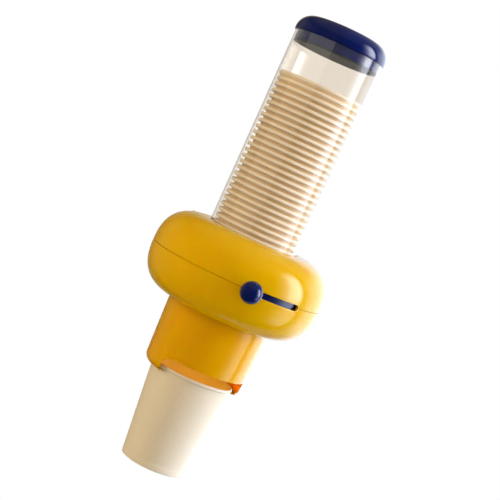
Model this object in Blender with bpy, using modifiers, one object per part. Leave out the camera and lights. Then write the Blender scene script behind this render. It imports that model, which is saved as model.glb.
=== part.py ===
"""Wall-hung dispenser for paper cups with rolled rims.

Metres, +Z up, the user stands at -Y and looks along +Y, +X is to the user's right.
The origin is the centre of the wall plate's back face, level with the housing's parting plane.
The cups, the tube, the ring-shaped housing and the outlet neck share one upright axis, the tube axis.
Heights below are measured from the parting plane, radii from the tube axis.
"""

import math

import bmesh
import bpy
from mathutils import Matrix, Vector

# Clearances and cuts
GAP = 0.0003
OVERRUN = 0.002
WELD = 0.00001

# Paper cup
CUP_HEIGHT = 0.0872
CUP_MOUTH_RADIUS = 0.0364
CUP_DRAW = 0.0084
CUP_PAPER = 0.0003
CUP_FLOOR_RECESS = 0.0050
RIM_WIDTH = 0.00135
RIM_HEIGHT = 0.0030
STACK_COUNT = 32
STACK_PITCH = 0.0055
STACK_RIM_LEVEL = 0.0015
RIM_ROUND_SHARE = 0.25
CUP_CLEARANCE = 0.0093

# Cup tube
TUBE_SIDE_GAP = 0.00075
TUBE_WALL = 0.0015
REFILL_SPACE = 0.0410

# Lid
LID_WALL = 0.0012
LID_OVERLAP = 0.0045
LID_RISE = 0.0135
LID_CROWN = 0.0020
LID_ROUNDING = 0.0140
LID_SHELL = 0.0020
PLUG_DEPTH = 0.0137
PLUG_WALL = 0.0018
LID_SEAL_THICKNESS = 0.0012

# Ring-shaped housing
CREST_MARGIN = 0.0020
UPPER_HEIGHT = 0.0360
LOWER_HEIGHT = 0.0370
HOUSING_WALL = 0.0025
HOUSING_ROUNDNESS_SHARE = 0.8
HOUSING_LIP_DROP = 0.0006
HOUSING_HOLE_GAP = 0.0005
TONGUE_HEIGHT = 0.0018
FLOOR_THICKNESS = 0.0051
BOSS_RADIUS = 0.0040
BOSS_ROOM = 0.0118

# Outlet neck
NECK_MARGIN = 0.0032
NECK_TAPER = 0.0016
NECK_WALL = 0.0022
NECK_ROUNDING = 0.0080
NECK_FLANGE_MARGIN = 0.0054
NECK_FLANGE_THICKNESS = 0.0020
NECK_FLANGE_NOTCH_GAP = 0.0005
NECK_STRAIGHT = 0.0060
SEAT_LIP_THICKNESS = 0.0027
SEAT_LIP_REACH = 0.00125
SEAT_SIDE_GAP = 0.00085
SEAT_WALL_HEIGHT = 0.0029
NOTCH_MARGIN = 0.0012
NOTCH_RISE = 0.0092
NOTCH_ROUNDING = 0.0070

# Screws
SCREW_RADIUS = 0.0015
SCREW_HEAD_RADIUS = 0.0028
SCREW_HEAD_HEIGHT = 0.0020
SCREW_RECESS = 0.0040
HOUSING_SCREW_BITE = 0.0115
NECK_SCREW_LENGTH = 0.0050
BRACKET_SCREW_LENGTH = 0.0120
WALL_HOLE_RADIUS = 0.0023
WALL_RECESS_RADIUS = 0.0041
WALL_RECESS_DEPTH = 0.0022

# Mechanism plates
BASE_TOP = -0.0080
BASE_THICKNESS = 0.0020
BASE_EDGE_GAP = 0.0013
THROAT_WALL = 0.0015
THROAT_GAP = 0.00095
THROAT_BOTTOM = -0.0220
COVER_BOTTOM = 0.0085
COVER_THICKNESS = 0.0020
COVER_EDGE_GAP = 0.0051
SOCKET_WALL = 0.0022
SEAL_THICKNESS = 0.0030
SEAL_HEIGHT = 0.0030
WINDOW_MARGIN = 0.0006
WINDOW_HALF_WIDTH = 0.0108

# Separator wheels
WHEEL_ROOM = 0.0138
PINION_TEETH = 10
RING_TEETH = 64
PRESSURE_ANGLE = 25.0
BACKLASH = 0.0003
PINION_ADDENDUM_SHARE = 0.9
RING_ADDENDUM_SHARE = 0.8
ROOT_CLEARANCE_SHARE = 0.25
WHEEL_COUNT = 4
BLADE_GRIP = 0.00125
BLADE_THICKNESS = 0.0015
BLADE_CLEARANCE = 0.0003
LOWER_BLADE_START = -85.0
LOWER_BLADE_END = 30.0
UPPER_BLADE_START = -270.0
UPPER_BLADE_END = -55.0
HUB_RADIUS = 0.0050
AXLE_RADIUS = 0.0015

# Drive ring and lever
LEVER_TRAVEL = 34.0
RING_TOOTH_LEVEL = -0.0050
RING_TOP = -0.0013
RING_WALL = 0.0066
RIB_WIDTH = 0.0018
TOOTHED_HALF_ANGLE = 27.0
SLOT_HEIGHT = 0.0053
SLOT_HALF_ANGLE = 19.7
ROUND_END_SHARE = 0.98
STRIP_THICKNESS = 0.0010
STRIP_GAP = 0.0009
STRIP_HALF_HEIGHT = 0.0042
STRIP_HALF_ANGLE = 35.5
STEM_RADIUS = 0.0022
LUG_HALF_WIDTH = 0.0040
LUG_DEPTH = 0.0050
KNOB_RADIUS = 0.0095
KNOB_STANDOFF = 0.0104
KNOB_SOCKET_DEPTH = 0.0050
PEG_RADIUS = 0.0016
PEG_INSET = 0.0034
PEG_ANGLE = 0.0
PEG_SIDE_GAP = 0.0005
PEG_OVERHANG = 0.0020
PAD_THICKNESS = 0.0020
PAD_WIDTH = 0.0032
SPRING_POST_ANGLE = 24.0
SPRING_COIL_RADIUS = 0.0022
SPRING_WIRE_RADIUS = 0.00035
SPRING_TURNS = 6
SPRING_LEVEL_DROP = 0.0040

# Wall fixing
PLATE_THICKNESS = 0.0040
PLATE_HALF_WIDTH = 0.0200
PLATE_HALF_HEIGHT = 0.0310
TONGUE_NECK_HALF_WIDTH = 0.0080
TONGUE_HEAD_HALF_WIDTH = 0.0130
TONGUE_STEP = 0.0030
TONGUE_HALF_HEIGHT = 0.0220
BRACKET_HALF_WIDTH = 0.0220
BRACKET_HALF_HEIGHT = 0.0260
BRACKET_SKIN = 0.0022
BRACKET_DEPTH = 0.0200
BRACKET_SCREW_X = 0.0175
BRACKET_SCREW_Z = 0.0150
BRACKET_SEAT_GAP = 0.0008
WALL_HOLE_Z = 0.0265

# Facets
ROUND_STEPS = 28
CUP_STEPS = 24
STACK_STEPS = 12
SMALL_STEPS = 8
WEDGE_STEP = 16.0
SLOT_STEP = 5.0
STRIP_STEPS = 12

# Values worked out from the sizes above
RIM_RADIUS = CUP_MOUTH_RADIUS + RIM_WIDTH
CUP_BASE_RADIUS = CUP_MOUTH_RADIUS - CUP_DRAW
CUP_TAPER = CUP_DRAW / CUP_HEIGHT
STACK_RIM_TOP = STACK_RIM_LEVEL + RIM_HEIGHT
STACK_TOP = STACK_RIM_TOP + STACK_PITCH * (STACK_COUNT - 1)
RELEASED_RIM_TOP = STACK_RIM_TOP - CUP_HEIGHT - CUP_CLEARANCE
TUBE_BORE = RIM_RADIUS + TUBE_SIDE_GAP
TUBE_RADIUS = TUBE_BORE + TUBE_WALL
TUBE_TOP = STACK_TOP + REFILL_SPACE
LID_RADIUS = TUBE_RADIUS + LID_WALL
THROAT_BORE = RIM_RADIUS + THROAT_GAP
THROAT_OUTER = THROAT_BORE + THROAT_WALL
BOSS_CIRCLE = THROAT_OUTER + BOSS_ROOM
AXLE_CIRCLE = THROAT_OUTER + WHEEL_ROOM
GEAR_MODULE = 2 * AXLE_CIRCLE / (RING_TEETH - PINION_TEETH)
GEAR_RATIO = RING_TEETH / PINION_TEETH
RING_PITCH_RADIUS = GEAR_MODULE * RING_TEETH / 2
PINION_PITCH_RADIUS = GEAR_MODULE * PINION_TEETH / 2
PINION_ADDENDUM = GEAR_MODULE * PINION_ADDENDUM_SHARE
RING_ADDENDUM = GEAR_MODULE * RING_ADDENDUM_SHARE
ROOT_CLEARANCE = GEAR_MODULE * ROOT_CLEARANCE_SHARE
PINION_TIP_RADIUS = PINION_PITCH_RADIUS + PINION_ADDENDUM
PINION_ROOT_RADIUS = PINION_PITCH_RADIUS - RING_ADDENDUM - ROOT_CLEARANCE
RING_TIP_RADIUS = RING_PITCH_RADIUS - RING_ADDENDUM
RING_ROOT_RADIUS = RING_PITCH_RADIUS + PINION_ADDENDUM + ROOT_CLEARANCE
RING_OUTER_RADIUS = RING_ROOT_RADIUS + RING_WALL
STRIP_INNER = RING_OUTER_RADIUS + GAP
STRIP_OUTER = STRIP_INNER + STRIP_THICKNESS
HOUSING_RADIUS = STRIP_OUTER + STRIP_GAP + HOUSING_WALL
HOUSING_CREST_RADIUS = TUBE_RADIUS + CREST_MARGIN
FLOOR_LEVEL = FLOOR_THICKNESS - LOWER_HEIGHT
PEG_CIRCLE = RING_OUTER_RADIUS - PEG_INSET
KNOB_CIRCLE = HOUSING_RADIUS + KNOB_STANDOFF
BASE_RADIUS = HOUSING_RADIUS - HOUSING_WALL - BASE_EDGE_GAP
BASE_BOTTOM = BASE_TOP - BASE_THICKNESS
COVER_RADIUS = HOUSING_RADIUS - HOUSING_WALL - COVER_EDGE_GAP
COVER_TOP = COVER_BOTTOM + COVER_THICKNESS
HOUSING_SCREW_REACH = COVER_TOP + HOUSING_SCREW_BITE
TUBE_BOTTOM = COVER_TOP + GAP
SOCKET_BORE = TUBE_RADIUS + GAP
SOCKET_TOP = UPPER_HEIGHT - HOUSING_WALL - SEAL_HEIGHT - 2 * GAP
RIB_OUTER = RING_ROOT_RADIUS - 2 * GAP
RIB_TOP = RING_TOOTH_LEVEL - GAP
RING_BOTTOM = BASE_TOP + GAP
LOWER_BLADE_TOP = STACK_RIM_LEVEL - BLADE_CLEARANCE
LOWER_BLADE_BOTTOM = LOWER_BLADE_TOP - BLADE_THICKNESS
RIM_SPACE = STACK_PITCH - RIM_HEIGHT
UPPER_BLADE_BOTTOM = STACK_RIM_TOP + (RIM_SPACE - BLADE_THICKNESS) / 2
UPPER_BLADE_TOP = UPPER_BLADE_BOTTOM + BLADE_THICKNESS
BLADE_RADIUS = AXLE_CIRCLE - RIM_RADIUS + BLADE_GRIP
WHEEL_BOTTOM = BASE_TOP + GAP
WHEEL_TOP = COVER_BOTTOM - GAP
SCREW_HOLE_RADIUS = SCREW_RADIUS + GAP
BOSS_TOP = BASE_BOTTOM - GAP
NECK_TOP_RADIUS = HOUSING_CREST_RADIUS + NECK_MARGIN
NECK_FOOT_RADIUS = NECK_TOP_RADIUS - NECK_TAPER
SEAT_LEVEL = RELEASED_RIM_TOP - RIM_HEIGHT - GAP
SEAT_BORE = RIM_RADIUS + SEAT_SIDE_GAP
SEAT_LIP_RADIUS = RIM_RADIUS - SEAT_LIP_REACH
SEAT_WALL_TOP = SEAT_LEVEL + SEAT_WALL_HEIGHT
NOTCH_HALF_WIDTH = SEAT_BORE + NOTCH_MARGIN
NOTCH_TOP = RELEASED_RIM_TOP + NOTCH_RISE
NECK_BOTTOM = SEAT_LEVEL - SEAT_LIP_THICKNESS
NECK_BEND = NECK_BOTTOM + NECK_ROUNDING
NECK_FLANGE_RADIUS = BOSS_CIRCLE + NECK_FLANGE_MARGIN
NECK_FLANGE_BOTTOM = FLOOR_LEVEL + GAP
NECK_FLANGE_TOP = NECK_FLANGE_BOTTOM + NECK_FLANGE_THICKNESS
TONGUE_FRONT = PLATE_THICKNESS + 2 * TONGUE_STEP
AXIS_DISTANCE = TONGUE_FRONT + GAP + BRACKET_SKIN + GAP + HOUSING_RADIUS
SPRING_LEVEL = BASE_BOTTOM - SPRING_LEVEL_DROP
PEG_FOOT = SPRING_LEVEL - PEG_OVERHANG

YELLOW = (0.90, 0.52, 0.02, 1.0)
NAVY = (0.010, 0.014, 0.065, 1.0)
PAPER = (0.80, 0.71, 0.55, 1.0)
ACETAL = (0.80, 0.80, 0.77, 1.0)
STEEL = (0.55, 0.55, 0.56, 1.0)
DARK_RUBBER = (0.06, 0.07, 0.06, 1.0)
CLEAR = (0.93, 0.95, 0.96, 1.0)

PARTS = "cup_dispenser"
CUTTERS = "cutters"


def clear_scene():
    for obj in list(bpy.data.objects):
        bpy.data.objects.remove(obj)
    for name in (PARTS, CUTTERS):
        bpy.context.scene.collection.children.link(bpy.data.collections.new(name))
    bpy.data.collections[CUTTERS].hide_render = True


def material(name, colour, roughness, metallic=0.0, alpha=1.0):
    found = bpy.data.materials.get(name)
    if found:
        return found
    made = bpy.data.materials.new(name)
    made.use_nodes = True
    shader = made.node_tree.nodes["Principled BSDF"]
    shader.inputs["Base Color"].default_value = colour
    shader.inputs["Roughness"].default_value = roughness
    shader.inputs["Metallic"].default_value = metallic
    shader.inputs["Alpha"].default_value = alpha
    return made


def yellow():
    return material("yellow_plastic", YELLOW, 0.18)


def navy():
    return material("navy_plastic", NAVY, 0.12)


def paper():
    return material("cup_paper", PAPER, 0.75)


def acetal():
    return material("white_acetal", ACETAL, 0.40)


def steel():
    return material("steel", STEEL, 0.30, metallic=1.0)


def rubber():
    return material("dark_rubber", DARK_RUBBER, 0.80)


def clear_plastic():
    return material("clear_plastic", CLEAR, 0.05, alpha=0.35)


def empty(name, location, parent=None, turn=0.0):
    obj = bpy.data.objects.new(name, None)
    bpy.data.collections[PARTS].objects.link(obj)
    obj.parent = parent
    obj.location = location
    obj.rotation_euler.z = math.radians(turn)
    return obj


def add_part(name, mesh, look, parent):
    obj = bpy.data.objects.new(name, mesh)
    bpy.data.collections[PARTS].objects.link(obj)
    obj.parent = parent
    if look.name not in mesh.materials:
        mesh.materials.append(look)
    return obj


def add_cutter(name, mesh, parent):
    obj = bpy.data.objects.new(name, mesh)
    bpy.data.collections[CUTTERS].objects.link(obj)
    obj.parent = parent
    obj.hide_render = True
    obj.display_type = "WIRE"
    return obj


def add_copies(name, mesh, look, parent, places):
    """A numbered object at each place (x, y, z); they share one mesh."""
    made = []
    for number, place in enumerate(places, start=1):
        obj = add_part(f"{name}_{number}", mesh, look, parent)
        obj.location = place
        made.append(obj)
    return made


def mesh_from(name, bm):
    bmesh.ops.recalc_face_normals(bm, faces=bm.faces)
    mesh = bpy.data.meshes.new(name)
    bm.to_mesh(mesh)
    bm.free()
    return mesh


def box_mesh(name, low, high):
    bm = bmesh.new()
    bmesh.ops.create_cube(bm, size=1)
    size = Vector(high) - Vector(low)
    middle = (Vector(high) + Vector(low)) / 2
    bmesh.ops.transform(bm, matrix=Matrix.Translation(middle) @ Matrix.Diagonal((*size, 1)), verts=bm.verts)
    return mesh_from(name, bm)


def rods_mesh(name, places, radius, low, high, steps=SMALL_STEPS):
    """Upright round rods, one at each place (x, y), each with a flat side towards +X."""
    half_step = Matrix.Rotation(math.pi / steps, 4, "Z")
    bm = bmesh.new()
    for x, y in places:
        bmesh.ops.create_cone(
            bm,
            cap_ends=True,
            segments=steps,
            radius1=radius,
            radius2=radius,
            depth=high - low,
            matrix=Matrix.Translation((x, y, (low + high) / 2)) @ half_step,
        )
    return mesh_from(name, bm)


def rod_between(name, start, end, radius, steps=SMALL_STEPS):
    """A round rod from one point to another."""
    start = Vector(start)
    end = Vector(end)
    along = end - start
    turn = along.to_track_quat("Z", "Y").to_matrix().to_4x4()
    bm = bmesh.new()
    bmesh.ops.create_cone(
        bm,
        cap_ends=True,
        segments=steps,
        radius1=radius,
        radius2=radius,
        depth=along.length,
        matrix=Matrix.Translation((start + end) / 2) @ turn,
    )
    return mesh_from(name, bm)


def turned_mesh(name, profile, closed, steps=ROUND_STEPS):
    """The mesh that a profile of (radius, height) points makes when it is turned about Z."""
    points = len(profile)
    edges = [(k, k + 1) for k in range(points - 1)]
    if closed:
        edges.append((points - 1, 0))
    mesh = bpy.data.meshes.new(name)
    mesh.from_pydata([(radius, 0, height) for radius, height in profile], edges, [])
    obj = bpy.data.objects.new(name, mesh)
    bpy.context.scene.collection.objects.link(obj)
    screw = obj.modifiers.new("turn", "SCREW")
    screw.steps = steps
    screw.render_steps = steps
    screw.use_merge_vertices = True
    screw.merge_threshold = WELD
    return baked(obj)


def baked(obj):
    """The evaluated mesh of an object, which is removed."""
    bpy.context.view_layer.update()
    graph = bpy.context.evaluated_depsgraph_get()
    made = bpy.data.meshes.new_from_object(obj.evaluated_get(graph))
    made.name = obj.name
    bpy.data.objects.remove(obj)
    bm = bmesh.new()
    bm.from_mesh(made)
    bmesh.ops.remove_doubles(bm, verts=bm.verts, dist=WELD)
    bm.to_mesh(made)
    bm.free()
    return made


def plate_mesh(name, outlines, low, high):
    """A flat plate between two heights: the first outline is its edge, the others are holes."""
    curve = bpy.data.curves.new(name, "CURVE")
    curve.dimensions = "2D"
    curve.fill_mode = "BOTH"
    curve.extrude = (high - low) / 2
    for outline in outlines:
        spline = curve.splines.new("POLY")
        spline.points.add(len(outline) - 1)
        for point, (x, y) in zip(spline.points, outline):
            point.co = (x, y, 0, 1)
        spline.use_cyclic_u = True
    obj = bpy.data.objects.new(name, curve)
    bpy.context.scene.collection.objects.link(obj)
    mesh = baked(obj)
    bpy.data.curves.remove(curve)
    mesh.transform(Matrix.Translation((0, 0, (low + high) / 2)))
    return mesh


def copies_mesh(name, mesh, places):
    """One mesh that holds a copy of another at each matrix."""
    bm = bmesh.new()
    for place in places:
        copy = mesh.copy()
        copy.transform(place)
        bm.from_mesh(copy)
        bpy.data.meshes.remove(copy)
    return mesh_from(name, bm)


def smooth(obj, angle=35.0):
    obj.data.shade_smooth()
    obj.data.set_sharp_from_angle(angle=math.radians(angle))


def boolean(obj, tool, operation="DIFFERENCE"):
    cut = obj.modifiers.new(tool.name, "BOOLEAN")
    cut.operation = operation
    cut.object = tool
    cut.solver = "EXACT"


def on_circle(radius, degrees):
    return (radius * math.cos(math.radians(degrees)), radius * math.sin(math.radians(degrees)))


def arc(radius, start, end, step=WEDGE_STEP):
    count = max(1, math.ceil(abs(end - start) / step))
    return [on_circle(radius, start + (end - start) * k / count) for k in range(count + 1)]


def quarter_places(radius, first):
    """Places (x, y) a quarter turn apart on a circle."""
    return [on_circle(radius, first + 90.0 * k) for k in range(4)]


def wheel_angles():
    return [45.0 + 360.0 * k / WHEEL_COUNT for k in range(WHEEL_COUNT)]


def section_angle(height, size):
    """The angle on the housing's section at which it reaches a height."""
    return math.asin(min(1.0, abs(height) / size) ** (1 / HOUSING_ROUNDNESS_SHARE))


def section(radius, size, high_angle, low_angle, count):
    """Points on the housing's rounded section, from near the crest to near the parting plane."""
    points = []
    for k in range(count + 1):
        angle = high_angle + (low_angle - high_angle) * k / count
        out = (radius - HOUSING_CREST_RADIUS) * math.cos(angle) ** HOUSING_ROUNDNESS_SHARE
        up = size * math.sin(angle) ** HOUSING_ROUNDNESS_SHARE
        points.append((HOUSING_CREST_RADIUS + out, up))
    return points


def housing_outline():
    """The whole outer section of both housings, from top to bottom."""
    crest = math.pi / 2
    upper = section(HOUSING_RADIUS, UPPER_HEIGHT, crest, 0.0, 7)
    lower = section(HOUSING_RADIUS, LOWER_HEIGHT, crest, 0.0, 7)
    return upper + [(radius, -height) for radius, height in reversed(lower[:-1])]


def make_slot_cutter(parent):
    """The lever's slot: a bar with round ends, bent round the tube axis."""
    half_height = SLOT_HEIGHT / 2
    half_length = HOUSING_RADIUS * math.radians(SLOT_HALF_ANGLE)
    depth = HOUSING_WALL + OVERRUN
    mesh = strip_mesh("slot_cutter", half_length, half_height, -depth, OVERRUN, half_height * ROUND_END_SHARE)
    bend(mesh, HOUSING_RADIUS)
    return add_cutter("slot_cutter", mesh, parent)


def strip_mesh(name, half_length, half_height, low, high, rounding=0.0):
    """A flat bar along X, cut across at even steps so that it can be bent."""
    bm = bmesh.new()
    bm.from_mesh(box_mesh(name, (-half_length, -half_height, low), (half_length, half_height, high)))
    if rounding:
        upright = [e for e in bm.edges if abs(e.verts[0].co.z - e.verts[1].co.z) > (high - low) / 2]
        bmesh.ops.bevel(bm, geom=upright, offset=rounding, segments=4, profile=0.5, affect="EDGES")
    reach = half_length - rounding * 2
    for k in range(1, STRIP_STEPS):
        place = (reach * (2 * k / STRIP_STEPS - 1), 0, 0)
        geometry = bm.verts[:] + bm.edges[:] + bm.faces[:]
        bmesh.ops.bisect_plane(bm, geom=geometry, plane_co=place, plane_no=(1, 0, 0))
    return mesh_from(name, bm)


def bend(mesh, radius):
    """Bends a flat mesh, X along it and Z outwards, round the tube axis at the front."""
    for vertex in mesh.vertices:
        x, y, z = vertex.co
        turn = x / radius
        out = radius + z
        vertex.co = (out * math.sin(turn), -out * math.cos(turn), y)
    mesh.update()


def make_upper_housing(axis, slot):
    inner_radius = HOUSING_RADIUS - HOUSING_WALL
    inner_height = UPPER_HEIGHT - HOUSING_WALL
    step_radius = HOUSING_RADIUS - HOUSING_WALL / 2
    step_level = TONGUE_HEIGHT + GAP
    hole = TUBE_RADIUS + HOUSING_HOLE_GAP
    edge = section_angle(GAP / 2, UPPER_HEIGHT)
    outer = section(HOUSING_RADIUS, UPPER_HEIGHT, math.pi / 2, edge, 7)
    strip_room = section_angle(STRIP_HALF_HEIGHT + GAP, inner_height)
    inner = section(inner_radius, inner_height, math.pi / 2, strip_room, 3)
    profile = [(hole, UPPER_HEIGHT - HOUSING_LIP_DROP)] + outer
    profile += [(step_radius, GAP / 2), (step_radius, step_level), (inner_radius, step_level)]
    profile += inner[::-1] + [(hole, inner_height)]
    obj = add_part("upper_housing", turned_mesh("upper_housing", profile, True), yellow(), axis)
    places = quarter_places(BOSS_CIRCLE, 0.0)
    foot = COVER_TOP + GAP
    bosses = rods_mesh("upper_bosses", places, BOSS_RADIUS, foot, inner_height)
    boolean(obj, add_cutter("upper_bosses", bosses, axis), "UNION")
    hole_top = HOUSING_SCREW_REACH + OVERRUN
    holes = rods_mesh("upper_boss_holes", places, SCREW_HOLE_RADIUS, foot - OVERRUN, hole_top)
    boolean(obj, add_cutter("upper_boss_holes", holes, axis))
    boolean(obj, slot)
    boolean(obj, bracket_hole("upper_bracket_holes", BRACKET_SCREW_Z, axis))
    smooth(obj)


def bracket_hole(name, level, axis):
    reach = HOUSING_RADIUS + OVERRUN
    places = []
    for side in (-1, 1):
        start = (side * BRACKET_SCREW_X, HOUSING_CREST_RADIUS, level)
        end = (side * BRACKET_SCREW_X, reach, level)
        places.append(rod_between(name, start, end, SCREW_HOLE_RADIUS))
    bm = bmesh.new()
    for mesh in places:
        bm.from_mesh(mesh)
    return add_cutter(name, mesh_from(name, bm), axis)


def make_lower_housing(axis, slot):
    inner_radius = HOUSING_RADIUS - HOUSING_WALL
    inner_height = LOWER_HEIGHT - HOUSING_WALL
    tongue_radius = HOUSING_RADIUS - HOUSING_WALL / 2 - GAP
    hole = NECK_TOP_RADIUS + GAP
    hole_share = (hole - HOUSING_CREST_RADIUS) / (HOUSING_RADIUS - HOUSING_CREST_RADIUS)
    hole_angle = math.acos(hole_share ** (1 / HOUSING_ROUNDNESS_SHARE))
    edge = section_angle(GAP / 2, LOWER_HEIGHT)
    outer = section(HOUSING_RADIUS, LOWER_HEIGHT, hole_angle, edge, 7)
    floor_angle = section_angle(FLOOR_LEVEL, inner_height)
    strip_room = section_angle(STRIP_HALF_HEIGHT + GAP, inner_height)
    inner = section(inner_radius, inner_height, floor_angle, strip_room, 3)
    profile = [(inner_radius, TONGUE_HEIGHT), (tongue_radius, TONGUE_HEIGHT), (tongue_radius, -GAP / 2)]
    profile += [(radius, -height) for radius, height in reversed(outer)]
    profile += [(hole, FLOOR_LEVEL)]
    profile += [(radius, -height) for radius, height in inner]
    obj = add_part("lower_housing", turned_mesh("lower_housing", profile, True), yellow(), axis)
    places = quarter_places(BOSS_CIRCLE, 0.0)
    root = FLOOR_LEVEL - HOUSING_WALL / 2
    bosses = rods_mesh("lower_bosses", places, BOSS_RADIUS, root, BOSS_TOP)
    boolean(obj, add_cutter("lower_bosses", bosses, axis), "UNION")
    bottom = -LOWER_HEIGHT - OVERRUN
    holes = rods_mesh("lower_boss_holes", places, SCREW_HOLE_RADIUS, bottom, BOSS_TOP + OVERRUN)
    boolean(obj, add_cutter("lower_boss_holes", holes, axis))
    recess_radius = SCREW_HEAD_RADIUS + GAP
    recesses = rods_mesh("screw_recesses", places, recess_radius, bottom, -LOWER_HEIGHT + SCREW_RECESS)
    boolean(obj, add_cutter("screw_recesses", recesses, axis))
    pilot_places = quarter_places(BOSS_CIRCLE, 45.0)
    pilot_bottom = NECK_FLANGE_TOP + GAP - NECK_SCREW_LENGTH - GAP
    pilots = rods_mesh("neck_pilots", pilot_places, SCREW_HOLE_RADIUS, pilot_bottom, FLOOR_LEVEL + OVERRUN)
    boolean(obj, add_cutter("neck_pilots", pilots, axis))
    boolean(obj, slot)
    boolean(obj, bracket_hole("lower_bracket_holes", -BRACKET_SCREW_Z, axis))
    smooth(obj)


def make_outlet_neck(axis):
    """The sleeve below the housing: rim seat at its foot, notch at the front that the cup leaves by."""
    bend_centre = NECK_FOOT_RADIUS - NECK_ROUNDING
    lip_angle = math.degrees(math.acos((SEAT_LIP_RADIUS - bend_centre) / NECK_ROUNDING))
    bends = 3
    foot = []
    for k in range(bends + 1):
        out, down = on_circle(NECK_ROUNDING, -lip_angle * k / bends)
        foot.append((bend_centre + out, NECK_BEND + down))
    bore_top = NECK_TOP_RADIUS - NECK_WALL
    bore_foot = NECK_FOOT_RADIUS - NECK_WALL
    shoulder = -LOWER_HEIGHT - NECK_STRAIGHT
    profile = [
        (bore_top, NECK_FLANGE_TOP),
        (NECK_FLANGE_RADIUS, NECK_FLANGE_TOP),
        (NECK_FLANGE_RADIUS, NECK_FLANGE_BOTTOM),
        (NECK_TOP_RADIUS, NECK_FLANGE_BOTTOM),
        (NECK_TOP_RADIUS, shoulder),
        *foot,
        (SEAT_LIP_RADIUS, SEAT_LEVEL),
        (SEAT_BORE, SEAT_LEVEL),
        (SEAT_BORE, SEAT_WALL_TOP),
        (bore_foot, SEAT_WALL_TOP),
        (bore_top, shoulder),
    ]
    obj = add_part("outlet_neck", turned_mesh("outlet_neck", profile, True), yellow(), axis)
    front = -NECK_TOP_RADIUS - OVERRUN
    steps = (
        ("notch_cutter", NOTCH_HALF_WIDTH, SEAT_WALL_TOP, NOTCH_TOP),
        ("guide_cutter", SEAT_BORE, SEAT_LEVEL, SEAT_WALL_TOP + OVERRUN),
        ("lip_cutter", SEAT_LIP_RADIUS, NECK_BOTTOM - OVERRUN, SEAT_LEVEL + OVERRUN),
    )
    for name, half_width, low, high in steps:
        mesh = box_mesh(name, (-half_width, front, low), (half_width, -OVERRUN, high))
        cutter = add_cutter(name, mesh, axis)
        if name == "notch_cutter":
            round_notch(cutter)
        boolean(obj, cutter)
    clear_radius = BOSS_RADIUS + NECK_FLANGE_NOTCH_GAP
    low = NECK_FLANGE_BOTTOM - OVERRUN
    high = NECK_FLANGE_TOP + OVERRUN
    notches = rods_mesh("flange_notches", quarter_places(BOSS_CIRCLE, 0.0), clear_radius, low, high)
    boolean(obj, add_cutter("flange_notches", notches, axis))
    holes = rods_mesh("flange_holes", quarter_places(BOSS_CIRCLE, 45.0), SCREW_HOLE_RADIUS, low, high)
    boolean(obj, add_cutter("flange_holes", holes, axis))
    smooth(obj)


def round_notch(cutter):
    """Rounds the two upper corners of the notch, whose edges run front to back."""
    weights = cutter.data.attributes.new("bevel_weight_edge", "FLOAT", "EDGE")
    for edge in cutter.data.edges:
        ends = [cutter.data.vertices[index].co for index in edge.vertices]
        along = abs(ends[0].y - ends[1].y) > NOTCH_ROUNDING
        upper = min(end.z for end in ends) > NOTCH_TOP - NOTCH_ROUNDING / 2
        weights.data[edge.index].value = 1.0 if along and upper else 0.0
    bevel = cutter.modifiers.new("corners", "BEVEL")
    bevel.limit_method = "WEIGHT"
    bevel.width = NOTCH_ROUNDING
    bevel.segments = 4


def make_cup_tube(axis):
    outer = [(TUBE_RADIUS, TUBE_TOP), (TUBE_RADIUS, TUBE_BOTTOM)]
    profile = [(TUBE_BORE, TUBE_TOP), *outer, (TUBE_BORE, TUBE_BOTTOM)]
    obj = add_part("cup_tube", turned_mesh("cup_tube", profile, True), clear_plastic(), axis)
    smooth(obj)


def lid_dome(radius, top, rounding, count):
    """A crowned top with a rounded shoulder, from the centre out and down to the side."""
    flat = radius - rounding
    rim = top - LID_CROWN
    points = [(0.0, top), (flat / 2, top - LID_CROWN / 4)]
    for k in range(count + 1):
        out, up = on_circle(rounding, 90.0 * (1 - k / count))
        points.append((flat + out, rim - rounding + up))
    return points


def make_lid(axis):
    top = TUBE_TOP + LID_RISE
    edge = TUBE_TOP - LID_OVERLAP
    bore = TUBE_RADIUS + GAP
    shelf = TUBE_TOP + GAP
    inner_radius = LID_RADIUS - LID_SHELL - GAP
    inner = lid_dome(inner_radius, top - LID_SHELL, LID_ROUNDING - LID_SHELL, 2)
    inner = [point for point in inner if point[1] > shelf + GAP]
    profile = lid_dome(LID_RADIUS, top, LID_ROUNDING, 4)
    profile += [(LID_RADIUS, edge), (bore, edge), (bore, shelf), (inner[-1][0], shelf)]
    profile += inner[::-1]
    cap = add_part("lid_cap", turned_mesh("lid_cap", profile, False), navy(), axis)
    smooth(cap)
    plug_radius = TUBE_BORE - GAP
    plug_foot = TUBE_TOP - PLUG_DEPTH + LID_SEAL_THICKNESS + GAP
    plug_top = shelf - GAP
    floor_top = plug_foot + PLUG_WALL
    plug_profile = [
        (0.0, floor_top),
        (plug_radius - PLUG_WALL, floor_top),
        (plug_radius - PLUG_WALL, plug_top),
        (plug_radius, plug_top),
        (plug_radius, plug_foot),
        (0.0, plug_foot),
    ]
    plug = add_part("lid_plug", turned_mesh("lid_plug", plug_profile, False), navy(), axis)
    smooth(plug)
    seal_foot = TUBE_TOP - PLUG_DEPTH
    seal_top = seal_foot + LID_SEAL_THICKNESS
    seal_profile = [(0.0, seal_top), (plug_radius, seal_top), (plug_radius, seal_foot), (0.0, seal_foot)]
    seal = add_part("lid_seal", turned_mesh("lid_seal", seal_profile, False), rubber(), axis)
    smooth(seal)


def make_tube_seal(axis):
    bore = TUBE_RADIUS + GAP
    outer = bore + SEAL_THICKNESS
    low = SOCKET_TOP + GAP
    high = low + SEAL_HEIGHT
    profile = [(bore, high), (outer, high), (outer, low), (bore, low)]
    smooth(add_part("tube_seal", turned_mesh("tube_seal", profile, True), rubber(), axis))


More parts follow.
